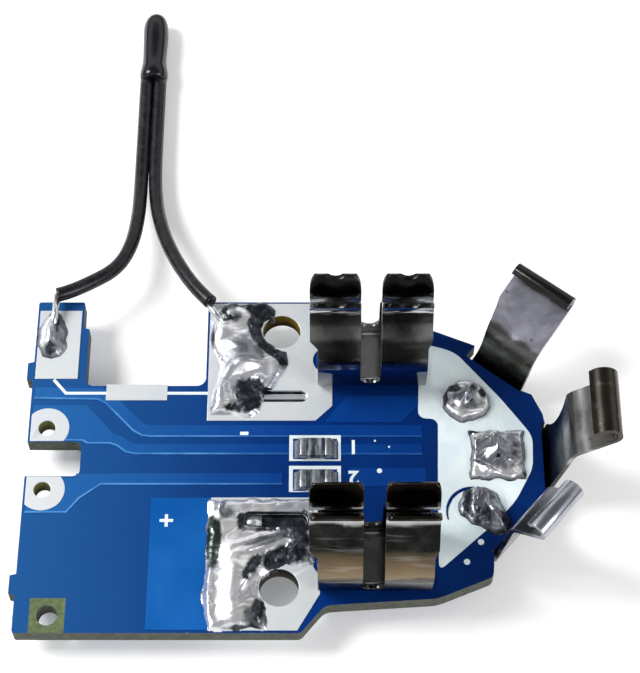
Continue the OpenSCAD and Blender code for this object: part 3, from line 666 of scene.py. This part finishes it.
# Painted light on each leaf at each height, in mm: painted shade where it rises steeply, and lilac-grey
# painted reflections and highlight bands on its flats and rolled head
CONTACT_PAINTED_LIGHT = {
    "contact_temp": [
        (-0.5, grey(0.3)), (0.8, grey(0.03)), (1.8, grey(0.06)), (2.2, (0.22, 0.24, 0.2)),
        (2.7, grey(0.07)), (3.2, grey(0.14)), (3.35, (0.42, 0.42, 0.5)), (4.5, (0.42, 0.42, 0.5)),
        (4.75, grey(0.6)), (4.95, grey(0.05)), (6.0, grey(0.02))],
    "contact_mid": [
        (-0.5, grey(0.3)), (0.8, (0.03, 0.04, 0.036)), (3.2, (0.05, 0.06, 0.056)), (4.2, grey(0.1)),
        (4.7, grey(0.55)), (5.1, grey(0.5)), (5.4, grey(0.12)), (6.0, grey(0.18)), (6.2, grey(0.4)),
        (6.5, grey(0.12)), (7.4, grey(0.05, 0.15)), (9.0, grey(0.045, 0.15))],
    "contact_high": [
        (-0.5, grey(0.3)), (1.0, grey(0.1)), (1.6, (0.34, 0.34, 0.4)), (2.4, (0.4, 0.4, 0.46)),
        (2.9, grey(0.08)), (4.5, grey(0.2)), (5.5, (0.3, 0.31, 0.36)), (6.9, grey(0.12)),
        (7.1, (0.36, 0.37, 0.42)), (9.0, (0.4, 0.41, 0.46))]}
for node, tones in CONTACT_PAINTED_LIGHT.items():
    bm = copy_of(node)
    soften(bm, SHEET_EDGE)
    metal = nickel(node + "_nickel_plate_painted_light", -0.6, 9.2, tones, 0.18)
    contact = make_piece(node + "_leaf", bm, metal.material)
    even_normals(contact)
    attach(contact, "root")
    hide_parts(node)


# ---------------------------------------------------------------- solder
# The power lands were flooded by hand, so their solder froze in bright uneven lumps
# with dark and grey patches between them, the grey partly painted shade; the lavender patches
# are painted reflection, and painted shade darkens the open slots and the joints' rims.
# The joints at pins and wires are smoother domes.

def melted(node, voxel, smooth, lump, wave, seed):
    """A CAD solder solid as frozen metal: one skin, its steps smoothed and its surface uneven."""
    bm = in_millimetres(node)
    mesh = bpy.data.meshes.new(node + "_raw")
    bm.to_mesh(mesh)
    bm.free()
    raw = bpy.data.objects.new(node + "_raw", mesh)
    scene.collection.objects.link(raw)
    remesh = raw.modifiers.new("skin", "REMESH")
    remesh.mode, remesh.voxel_size = "VOXEL", voxel
    shaken = raw.modifiers.new("even", "SMOOTH")
    shaken.factor, shaken.iterations = 0.5, smooth
    skin = baked(raw)
    bm = bmesh.new()
    bm.from_mesh(skin)
    bpy.data.meshes.remove(skin)
    bm.normal_update()
    shift = Vector((seed * 7.3, seed * 3.1, seed * 1.7))
    for vert in bm.verts:
        vert.co += vert.normal * noise.fractal(vert.co * wave + shift, 1.0, 2.0, 3) * lump
    shade_smooth(bm)
    return bm


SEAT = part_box("plus_copper")[1].z / MM
PIN_CUT = 0.12
SLOT_L, SLOT_W = 4.0, 0.85


def edge_distance(x, y, outline):
    """How far (x, y) lies inside the outline; negative outside it."""
    least, inside = 1e9, False
    for i, (ax, ay) in enumerate(outline):
        bx, by = outline[i - 1]
        dx, dy = bx - ax, by - ay
        t = max(0.0, min(1.0, ((x - ax) * dx + (y - ay) * dy) / (dx * dx + dy * dy)))
        least = min(least, math.hypot(x - ax - t * dx, y - ay - t * dy))
        if (ay > y) != (by > y) and x < ax + (y - ay) * dx / dy:
            inside = not inside
    return least if inside else -least


def bell(x, y, spot):
    """A soft hump at the spot (x, y, half-length, half-width, turn in degrees, strength)."""
    turn = math.radians(spot[4])
    along = (x - spot[0]) * math.cos(turn) + (y - spot[1]) * math.sin(turn)
    across = (y - spot[1]) * math.cos(turn) - (x - spot[0]) * math.sin(turn)
    return spot[5] * math.exp(-(along / spot[2]) ** 2 - (across / spot[3]) ** 2)


def below_board(node):
    """The part of a CAD solder solid that lies inside and under the board, closed at the cut."""
    bm = copy_of(node)
    cut = bmesh.ops.bisect_plane(bm, geom=bm.verts[:] + bm.edges[:] + bm.faces[:], plane_no=(0, 0, 1),
                                 plane_co=(0, 0, SEAT - PIN_CUT), clear_outer=True)
    bmesh.ops.holes_fill(bm, edges=[g for g in cut["geom_cut"] if isinstance(g, bmesh.types.BMEdge)])
    shade_smooth(bm)
    return bm


# Spacing of a pool's grid, its margin round the outline, and the width of its rim of painted shade
POOL_STEP, POOL_MARGIN, RIM = 0.06, 0.4, 0.22
SLOT_DEPTH, BAR_DEPTH = 0.4, 0.12
# Least height of a pool, and how far its underside lies below the land, with a slot and without
LEAST_HEIGHT, SLOT_SKIRT, SKIRT = 0.06, 0.5, 0.06


def pool(outline, base, humps, dark, greying_spots_and_shade, seed, green=(), relief=0.1, crease=0.02, meniscus=0.45, rim=0.0,
         slot=None, bar=True):
    """Frozen solder on a land: a skin that swells from its wetted edge.

    Humps, dark patches, greyed patches that are partly painted shade, and green stain are lists of bells. A
    slot is (x, y, length) of the part of the land's slot that stays open, and bar is the strip end that
    stands in it. Painted shade darkens the open slot and a rim round the wetted edge.
    """
    xs, ys = [p[0] for p in outline], [p[1] for p in outline]
    if slot:
        xs += [slot[0] - slot[2] / 2, slot[0] + slot[2] / 2]
    wide, deep = max(xs) - min(xs) + POOL_MARGIN, max(ys) - min(ys) + POOL_MARGIN
    middle = ((max(xs) + min(xs)) / 2, (max(ys) + min(ys)) / 2)
    bm = bmesh.new()
    tones = [(bm.verts.layers.float.new(name), spots) for name, spots in
             (("dark_patches_and_shade", dark), ("stain", green), ("greying_and_shade", greying_spots_and_shade))]
    dark_patches_and_shade = tones[0][0]
    bmesh.ops.create_grid(bm, x_segments=int(wide / POOL_STEP), y_segments=int(deep / POOL_STEP), size=0.5,
                          matrix=Matrix.Translation((*middle, 0)) @ Matrix.Diagonal((wide, deep, 1, 1)))
    shift = Vector((seed * 7.3, seed * 3.1, 0))
    outside = []
    for vert in bm.verts:
        x, y = vert.co.x, vert.co.y
        wobble = (noise.noise(Vector((x, y, 0)) * 1.3 + shift) * 0.14
                  + noise.noise(Vector((x, y, 5)) * 4 + shift) * 0.03)
        inner = edge_distance(x, y, outline) + wobble
        swell = 1 - max(0.0, 1 - inner / meniscus) ** 2 if inner > 0 else inner / meniscus
        lumps = noise.fractal(Vector((x, y, 1)) * 0.75 + shift, 1.2, 2.0, 2)
        folds = abs(noise.noise(Vector((x * 0.8 + y * 0.5, y * 1.5 - x * 0.6, 2)) + shift))
        grain = noise.fractal(Vector((x, y, 4)) * 2.2 + shift, 0.9, 2.0, 3)
        for tone, spots in tones:
            amount = sum(bell(x, y, spot) for spot in spots)
            # the bell's foot is cut off, and its edge frayed by the grain
            vert[tone] = max(0.0, min(1.0, (amount * (1.2 + 0.6 * grain) - 0.36) * 2.6))
        height = base + relief * lumps - crease * (1 - min(folds * 5, 1))
        height += sum(bell(x, y, hump) for hump in humps)
        height += 0.07 * vert[dark_patches_and_shade] * noise.fractal(Vector((x, y, 3)) * 3.2 + shift, 1.0, 2.0, 2)
        level = swell * max(height, LEAST_HEIGHT)
        in_slot, on_bar = -1, False
        if slot:
            past_end = max(abs(x - slot[0]) - (slot[2] - SLOT_W) / 2, 0)
            in_slot = SLOT_W / 2 - math.hypot(past_end, y - slot[1])
            if in_slot > -0.05:
                drop = min(1.0, (in_slot + 0.05) / 0.12)
                on_bar = bar and abs(y - slot[1] - 0.08) < 0.14 and x < slot[0] + 1.6
                level = level * (1 - drop) * (inner > 0) - (BAR_DEPTH if on_bar else SLOT_DEPTH) * drop
        vert.co.z = SEAT + level
        # painted shade: the open slot is dark, and a rim round the wetted edge is darkened
        if in_slot > -0.12:
            vert[dark_patches_and_shade] = 0.1 if on_bar else 1.0
        elif rim and inner < RIM:
            vert[dark_patches_and_shade] = max(vert[dark_patches_and_shade], rim * (1 - max(inner, 0) / RIM))
        if inner < -0.1 and in_slot < -0.06:
            outside.append(vert)
    bmesh.ops.delete(bm, geom=outside, context="VERTS")
    shade_smooth(bm)
    under = list(bm.verts)
    bmesh.ops.extrude_face_region(bm, geom=bm.faces[:])
    for vert in under:
        vert.co.z = SEAT - (SLOT_SKIRT if slot else SKIRT)
    return bm


def join(bm, other):
    """Adds another bmesh to bm and frees it."""
    mesh = bpy.data.meshes.new("joined")
    other.to_mesh(mesh)
    other.free()
    bm.from_mesh(mesh)
    bpy.data.meshes.remove(mesh)


solder_metal = Finish("solder", (0.86, 0.87, 0.89), 0.28, metallic=0.85)
dark_and_shade_mask = solder_metal.node("Attribute", attribute_name="dark_patches_and_shade").outputs["Fac"]
green_film = solder_metal.node("Attribute", attribute_name="stain").outputs["Fac"]
greying_and_shade_mask = solder_metal.node("Attribute", attribute_name="greying_and_shade").outputs["Fac"]
# painted reflection: cool lavender patches on the bright solder
cool = solder_metal.group("patches", Scale=330.0, Low=0.42, High=0.62, Warp=1.0)
fleck = solder_metal.group("patches", Scale=1300.0, Low=0.45, High=0.75)
clean = solder_metal.mix(cool, (0.90, 0.90, 0.91), (0.66, 0.68, 0.76))
# partly painted shade: the greyed patches
clean = solder_metal.mix(greying_and_shade_mask, clean, (0.24, 0.25, 0.28))
# painted shade where the dark patches fill the open slots and the joints' rims
dark_tone = solder_metal.mix(fleck, (0.018, 0.022, 0.028), (0.10, 0.11, 0.13))
tone = solder_metal.mix(dark_and_shade_mask, clean, dark_tone)
solder_metal.feed("Base Color", solder_metal.mix(green_film, tone, (0.04, 0.055, 0.05)))
solder_metal.feed("Roughness", solder_metal.span(dark_and_shade_mask, 0, 1, 0.27, 0.4))
wrinkle = solder_metal.group("patches", Scale=1500.0, Low=0.3, High=0.7, Warp=1.0)
solder_metal.bump(wrinkle, 0.000006, 0.4)

# Outline of each flooded pool, and its bells: (x, y, half-length, half-width, turn in degrees, strength)
MINUS_POOL = [
    (-4.3, 10.6), (-3.9, 11.1), (-3.2, 11.25), (-0.9, 11.25), (-0.3, 10.7), (-0.4, 10.1), (-1.1, 9.8),
    (-1.25, 9.3), (-0.9, 8.35), (-0.3, 7.75), (0.5, 7.5), (0.6, 6.6), (0.15, 5.7), (-0.2, 5.1), (-0.5, 4.5),
    (-1.1, 3.6), (-1.2, 2.95), (-2.0, 2.6), (-3.7, 2.75), (-4.5, 2.8), (-4.3, 4.6), (-4.0, 5.6),
    (-3.9, 6.6), (-4.3, 7.4), (-4.6, 8.4), (-4.5, 9.4)]
MINUS_HUMPS = [
    (-3.8, 9.1, 0.7, 1.0, 0, 0.35), (-3.1, 10.3, 0.9, 0.7, 0, 0.4), (-2.5, 7.4, 1.2, 1.6, 0, 0.4),
    (-3.75, 4.4, 0.5, 1.0, 0, 0.35), (-3.2, 5.8, 0.7, 0.6, 50, 0.35), (-2.0, 6.4, 0.9, 0.45, 0, 0.3),
    (-1.7, 4.7, 0.8, 0.8, 0, -0.15), (-1.3, 5.3, 0.35, 0.3, 0, 0.3), (-2.2, 3.6, 0.4, 0.35, 0, 0.25)]
MINUS_DARK = [
    (-2.3, 11.0, 1.7, 0.4, 0, 1.0), (-3.6, 10.2, 0.3, 0.5, 30, 0.8), (-1.0, 10.4, 0.8, 0.7, 0, 1.2),
    (-1.55, 9.5, 0.5, 1.0, 0, 1.2), (-1.2, 8.4, 0.5, 0.9, 30, 1.2), (-0.3, 7.4, 0.8, 0.5, -30, 1.1),
    (0.3, 6.8, 0.4, 0.7, 0, 1.0), (-1.9, 4.5, 1.0, 0.85, 0, 1.3), (-1.8, 3.7, 0.6, 0.5, 0, 1.2),
    (-3.0, 3.2, 0.8, 0.3, 0, 0.8), (-2.1, 3.3, 0.6, 0.5, 0, 0.6), (-3.3, 9.7, 0.7, 0.2, 20, 0.7),
    (-4.4, 8.4, 0.2, 1.5, 0, 0.6)]
PLUS_POOL = [
    (-4.35, -3.3), (-2.9, -3.25), (-1.7, -3.2), (2.2, -3.2), (2.4, -4.3), (2.1, -5.5), (2.3, -7.6),
    (1.5, -7.9), (0.6, -7.75), (-0.5, -8.1), (-1.15, -8.9), (-1.15, -9.8), (-0.6, -10.6), (-0.6, -11.95),
    (-4.1, -12.0), (-4.4, -10.9), (-4.55, -9.6), (-4.4, -7.7), (-4.4, -6.4), (-4.35, -5.2)]
PLUS_HUMPS = [
    (-2.6, -8.1, 0.9, 2.2, 0, 0.4), (-2.7, -10.8, 0.8, 1.1, 0, 0.3), (-1.1, -6.0, 1.6, 0.2, 18, 0.14),
    (-1.3, -6.6, 1.4, 0.2, 22, 0.14), (-1.0, -7.8, 1.1, 0.22, 50, 0.3), (-1.7, -8.7, 0.9, 0.2, 60, 0.25),
    (-4.25, -9.9, 0.2, 1.3, 0, 0.35), (-3.6, -3.9, 0.3, 0.5, 0, 0.3), (1.4, -6.3, 0.9, 0.2, 45, 0.2),
    (0.3, -3.65, 1.8, 0.25, 0, 0.08)]
PLUS_DARK = [
    (-0.2, -5.35, 1.9, 0.3, 4, 0.75), (-2.3, -4.8, 0.4, 0.8, 0, 0.75), (0.4, -7.1, 0.9, 0.6, 10, 1.2),
    (1.5, -6.2, 0.6, 1.1, 0, 1.2), (0.0, -7.7, 0.8, 0.5, 0, 1.3), (-1.55, -8.0, 0.35, 1.0, -25, 1.4),
    (-1.1, -10.7, 0.45, 1.3, -12, 0.9), (-2.3, -11.95, 1.1, 0.2, 0, 0.8), (1.7, -4.6, 0.3, 0.7, 0, 0.8),
    (0.9, -5.8, 0.5, 0.3, 0, 0.7)]
PLUS_GREEN = [
    (-4.0, -6.2, 0.5, 1.8, 0, 1.3), (-0.2, -5.2, 2.2, 0.35, 0, 0.4), (-2.4, -4.6, 0.5, 0.8, 0, 0.4)]
MINUS_GREYING_AND_SHADE = [
    (-2.3, 7.6, 1.1, 1.2, 0, 0.9), (-3.0, 9.9, 0.6, 0.5, 0, 0.7), (-3.4, 10.6, 0.5, 0.3, 0, 0.7),
    (-1.6, 6.9, 0.8, 0.5, 0, 0.6), (-2.6, 3.4, 0.9, 0.5, 0, 0.7)]
PLUS_GREYING_AND_SHADE = [
    (-0.6, -6.1, 1.5, 0.35, 18, 0.9), (-3.0, -9.8, 0.5, 1.5, 0, 0.5), (-1.2, -11.2, 0.9, 0.9, 0, 1.0),
    (-3.3, -4.2, 0.7, 0.5, 0, 0.8), (1.7, -7.2, 0.5, 0.5, 0, 0.8)]


def regular(x, y, radius, corners, turn):
    """An outline with even corners round (x, y), the first of them at turn degrees."""
    return [(x + radius * math.cos(math.radians(turn + 360 * i / corners)),
             y + radius * math.sin(math.radians(turn + 360 * i / corners))) for i in range(corners)]


def over(node):
    """Middle of a node, in millimetres."""
    low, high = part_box(node)
    return (low.x + high.x) / 2 / MM, (low.y + high.y) / 2 / MM


def spots(at, *marks):
    """Bells placed from the middle of a joint."""
    return [(at[0] + mark[0], at[1] + mark[1], *mark[2:]) for mark in marks]


temp_at, mid_at, high_at = over("solder_temp"), over("solder_mid"), over("solder_high")
wire_at = over("solder_thermistor")
POOLS = {
    "solder_minus": dict(
        outline=MINUS_POOL, base=0.34, humps=MINUS_HUMPS, dark=MINUS_DARK, greying_spots_and_shade=MINUS_GREYING_AND_SHADE, seed=1,
        slot=(0.35, 4.2, SLOT_L - 0.9)),
    "solder_plus": dict(
        outline=PLUS_POOL, base=0.22, humps=PLUS_HUMPS, dark=PLUS_DARK, green=PLUS_GREEN, greying_spots_and_shade=PLUS_GREYING_AND_SHADE,
        seed=2, slot=(-0.1, -4.7, SLOT_L), bar=False),
    "solder_temp": dict(
        outline=regular(*temp_at, 1.55, 12, 15), base=0.4, seed=3, relief=0.04, rim=1.0, meniscus=0.3,
        humps=spots(
            temp_at, (0.1, 0.35, 0.75, 0.22, 62, 0.5), (0, 0, 0.9, 0.8, 0, 0.35),
            (0.2, -1.1, 0.9, 0.25, 0, 0.12)),
        dark=spots(
            temp_at, (-0.8, 0.75, 0.55, 0.4, 30, 1.1), (0.0, 1.5, 0.9, 0.2, 0, 1.0),
            (1.05, 0.35, 0.3, 0.55, 0, 0.9), (-1.35, 0.0, 0.2, 0.8, 0, 0.8)),
        greying_spots_and_shade=spots(temp_at, (0.0, 0.1, 1.3, 1.2, 0, 0.9))),
    "solder_mid": dict(
        outline=regular(*mid_at, 2.45, 4, 45), base=0.32, seed=4, relief=0.05, crease=0.03, rim=1.0,
        meniscus=0.3,
        humps=spots(
            mid_at, (0.0, 0.9, 0.7, 0.2, 90, 0.3), (1.0, -0.8, 0.8, 0.22, -45, 0.3),
            (-0.9, 1.1, 0.8, 0.2, 25, 0.2), (-0.5, -1.3, 0.8, 0.25, -35, 0.25),
            (0.0, 0.2, 0.8, 0.8, 0, 0.45)),
        dark=spots(
            mid_at, (-1.3, 1.6, 0.7, 0.2, 10, 0.9), (-1.2, -0.7, 0.6, 0.18, -35, 0.8),
            (1.1, 0.3, 0.4, 0.7, 0, 0.6), (1.6, -1.5, 0.3, 0.4, 0, 0.7)),
        greying_spots_and_shade=spots(mid_at, (0, 0.2, 2.0, 1.6, 0, 1.0))),
    "solder_high": dict(
        outline=spots(
            high_at, (1.35, 0.2), (1.1, 0.7), (0.5, 1.15), (-0.35, 1.2), (-0.95, 0.8), (-1.3, 0.0),
            (-1.2, -0.8), (-0.5, -1.45), (0.2, -1.7), (1.0, -2.1), (1.7, -2.0), (1.9, -1.2)),
        base=0.3, seed=5, relief=0.04, rim=1.0, meniscus=0.3,
        humps=spots(
            high_at, (-0.1, 0.3, 0.9, 0.14, 85, 0.4), (0.55, 0.3, 0.6, 0.4, 80, 0.4),
            (0.75, -0.7, 0.8, 0.55, -40, 0.75), (1.2, -1.3, 0.6, 0.4, -40, 0.35)),
        dark=spots(
            high_at, (-0.75, 0.1, 0.3, 1.0, -15, 1.2), (0.35, -0.9, 0.25, 0.9, 20, 1.0),
            (-0.2, -1.1, 0.5, 0.5, 0, 1.0), (1.5, -1.2, 0.3, 0.8, 0, 0.8)),
        greying_spots_and_shade=spots(high_at, (0.3, -0.2, 1.4, 1.6, 0, 1.0), (1.2, -1.2, 0.9, 0.9, 0, 1.0))),
    "solder_thermistor": dict(
        outline=spots(
            wire_at, (0.0, 2.0), (0.35, 1.75), (0.75, 1.1), (0.98, 0.2), (0.95, -0.8), (0.6, -1.55),
            (0.0, -1.75), (-0.6, -1.55), (-0.95, -0.8), (-0.98, 0.2), (-0.7, 1.2), (-0.35, 1.7)),
        base=0.45, seed=6, relief=0.03, crease=0.0, rim=0.8, meniscus=0.8,
        humps=spots(wire_at, (-0.1, 0.1, 0.5, 1.2, 0, 0.35)),
        dark=spots(wire_at, (0.34, 0.6, 0.17, 0.9, 0, 0.7), (-0.05, -1.15, 0.35, 0.5, 0, 1.1)),
        greying_spots_and_shade=spots(
            wire_at, (0.55, 0.2, 0.5, 1.6, 0, 1.3), (-0.95, 0.2, 0.25, 1.5, 0, 1.2),
            (0, 1.7, 0.6, 0.35, 0, 1.2), (-0.2, -1.4, 0.8, 0.5, 0, 1.2)))}
for node, shape in POOLS.items():
    bm = pool(**shape)
    join(bm, below_board(node))
    joint = make_piece(node + "_metal", bm, solder_metal.material)
    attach(joint, "root")
    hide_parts(node)

# Size of the skin's cells, smoothing passes, and height and frequency of its lumps
SOLDER = {
    "clip_minus_solder": (0.06, 3, 0.03, 1.5),
    "clip_plus_solder": (0.06, 3, 0.03, 1.5),
    "resistor_1_solder": (0.03, 2, 0.01, 2.0),
    "resistor_2_solder": (0.03, 2, 0.01, 2.0)}
# the clips' and chips' solder is greyed all over, partly painted shade
GREYED_AND_SHADED = 0.9
for seed, (node, (voxel, smooth, lump, wave)) in enumerate(SOLDER.items()):
    bm = melted(node, voxel, smooth, lump, wave, seed)
    film = bm.verts.layers.float.new("greying_and_shade")
    for vert in bm.verts:
        vert[film] = GREYED_AND_SHADED
    joint = make_piece(node + "_metal", bm, solder_metal.material)
    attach(joint, "root")
    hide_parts(node)


# ---------------------------------------------------------------- chip resistors
# Two thick-film chips, each a ceramic block under black glaze between tinned caps,
# soldered side by side on the board's middle line.

glaze = Finish("chip_glaze", (0.018, 0.018, 0.022), 0.35, Specular_IOR_Level=0.3)
rubbed = glaze.group("scratches", Across=700.0, Along=4200.0, Low=0.42, High=0.66)
glaze.feed("Base Color", glaze.mix(rubbed, (0.02, 0.024, 0.035), (0.24, 0.27, 0.30)))
clouds = glaze.group("patches", Scale=2500.0, Low=0.45, High=0.7)
glaze.bump(clouds, 0.000005, 0.4)
cap_tin = Finish("cap_tin", (0.66, 0.67, 0.69), 0.35, metallic=1.0)
clouds = cap_tin.group("patches", Scale=2500.0, Low=0.3, High=0.7)
cap_tin.feed("Base Color", cap_tin.mix(clouds, (0.24, 0.26, 0.28), (0.55, 0.58, 0.60)))
for node in ("resistor_1", "resistor_2", "resistor_1_caps", "resistor_2_caps"):
    capped = node.endswith("caps")
    bm = copy_of(node)
    soften(bm, 0.05 if capped else 0.03)
    chip = make_piece(node + ("_tin" if capped else "_glazed"), bm, (cap_tin if capped else glaze).material)
    even_normals(chip)
    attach(chip, "root")
    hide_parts(node)


# ---------------------------------------------------------------- thermistor
# A glass bead thermistor in a dipped black resin coat hangs on two stiff insulated
# wires, stripped at their ends and soldered to the board on either side of the notch.

sleeve = Finish("wire_sleeve", (0.012, 0.012, 0.014), 0.3, Specular_IOR_Level=0.3)
rub = sleeve.group("patches", Scale=1500.0, Low=0.4, High=0.7)
sleeve.feed("Base Color", sleeve.mix(rub, (0.004, 0.004, 0.005), (0.012, 0.012, 0.018)))
sleeve.feed("Roughness", sleeve.span(rub, 0, 1, 0.24, 0.36))
sleeve.bump(rub, 0.000006, 0.4)
SLEEVE_R = 0.49
# How far each lead lies from the bead's middle line, and how far it runs into the bead
LEAD_ASIDE, LEAD_INSIDE = 0.47, 0.3
bead_low, bead_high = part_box("thermistor_bead")
bead_x, bead_z = (bead_low.x + bead_high.x) / 2 / MM, (bead_low.z + bead_high.z) / 2 / MM
bead_start, bead_end = bead_low.y / MM, bead_high.y / MM
LEADS = {
    "lead_left": [
        (-14.9, 11.48, 2.02), (-14.2, 11.72, 1.95), (-12.9, 12.55, 1.7), (-11.1, 14.0, 1.25),
        (-10.25, 16.2, 0.75), (-9.98, 18.8, 0.2), (-9.97, 21.0, -0.3),
        (bead_x - LEAD_ASIDE, 23.2, bead_z), (bead_x - LEAD_ASIDE, 27.0, bead_z),
        (bead_x - LEAD_ASIDE, bead_start + LEAD_INSIDE, bead_z)],
    "lead_right": [
        (-4.6, 10.8, 2.22), (-5.2, 11.5, 2.06), (-6.2, 12.95, 1.67), (-7.4, 15.3, 1.08),
        (-8.3, 17.8, 0.47), (-8.85, 20.5, -0.22),
        (bead_x + LEAD_ASIDE, 23.2, bead_z), (bead_x + LEAD_ASIDE, 27.0, bead_z),
        (bead_x + LEAD_ASIDE, bead_start + LEAD_INSIDE, bead_z)]}
# Points of a drawn or spun shape that lie this close, in mm, are one
CLOSED_UP = 0.001
for node, route in LEADS.items():
    line = bpy.data.curves.new(node, "CURVE")
    line.dimensions, line.bevel_depth, line.bevel_resolution, line.resolution_u = "3D", SLEEVE_R, 5, 10
    line.use_fill_caps = True
    run = line.splines.new("NURBS")
    run.points.add(len(route) - 1)
    for point, place in zip(run.points, route):
        point.co = (*place, 1)
    run.order_u, run.use_endpoint_u = 3, True
    drawn = bpy.data.objects.new(node + "_drawn", line)
    scene.collection.objects.link(drawn)
    tube = baked(drawn)
    bm = bmesh.new()
    bm.from_mesh(tube)
    bpy.data.meshes.remove(tube)
    bmesh.ops.remove_doubles(bm, verts=bm.verts, dist=CLOSED_UP)
    for face in bm.faces:
        face.smooth = len(face.verts) < 6
    lead = make_piece(node + "_sleeve", bm, sleeve.material)
    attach(lead, "root")
    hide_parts(node)

resin = Finish("dipped_resin", (0.004, 0.004, 0.005), 0.12, Specular_IOR_Level=0.35)
sag = resin.group("patches", Scale=700.0, Low=0.3, High=0.7)
resin.feed("Base Color", resin.mix(sag, (0.003, 0.003, 0.005), (0.008, 0.008, 0.012)))
resin.bump(sag, 0.00003, 0.4)
BEAD_LENGTH, BEAD_UNEVEN = 6.2, 0.05
# radius and place along the bead: a collar over both leads, a waist and a domed end
BEAD = [
    (0.0, 0.0), (0.7, 0.0), (0.9, 0.08), (1.0, 0.3), (1.02, 0.62), (0.99, 0.95), (0.91, 1.3), (0.86, 1.8),
    (0.86, 2.5), (0.9, 3.4), (0.93, 4.3), (0.92, 5.0), (0.82, 5.55), (0.6, 5.95), (0.3, 6.15), (0.0, 6.2)]
bm = bmesh.new()
stretch = (bead_end - bead_start) / BEAD_LENGTH
outline = [bm.verts.new((bead_x + r, bead_start + along * stretch, bead_z)) for r, along in BEAD]
edges = [bm.edges.new(pair) for pair in zip(outline, outline[1:])]
bmesh.ops.spin(bm, geom=outline + edges, cent=(bead_x, bead_start, bead_z), axis=(0, 1, 0),
               angle=math.tau, steps=32, use_merge=True)
bmesh.ops.remove_doubles(bm, verts=bm.verts, dist=CLOSED_UP)
for vert in bm.verts:
    # the dip froze a little unevenly
    vert.co.x += BEAD_UNEVEN * noise.noise(Vector((1.0, vert.co.y * 0.7, 4.0)))
shade_smooth(bm)
bead = make_piece("thermistor_bead_resin", bm, resin.material)
rounder = bead.modifiers.new("rounder", "SUBSURF")
rounder.levels = rounder.render_levels = 1
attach(bead, "root")
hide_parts("thermistor_bead")

wire_tin = Finish("bare_wire_tin", (0.74, 0.75, 0.77), 0.25, metallic=1.0)
run = wire_tin.group("patches", Scale=3000.0, Low=0.3, High=0.7)
wire_tin.feed("Base Color", wire_tin.mix(run, (0.62, 0.63, 0.66), (0.8, 0.81, 0.83)))
wire_tin.bump(run, 0.000006, 0.4)
for node in ("wire_left", "wire_right"):
    bm = copy_of(node)
    shade_smooth(bm)
    wire = make_piece(node + "_tinned", bm, wire_tin.material)
    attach(wire, "root")
    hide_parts(node)
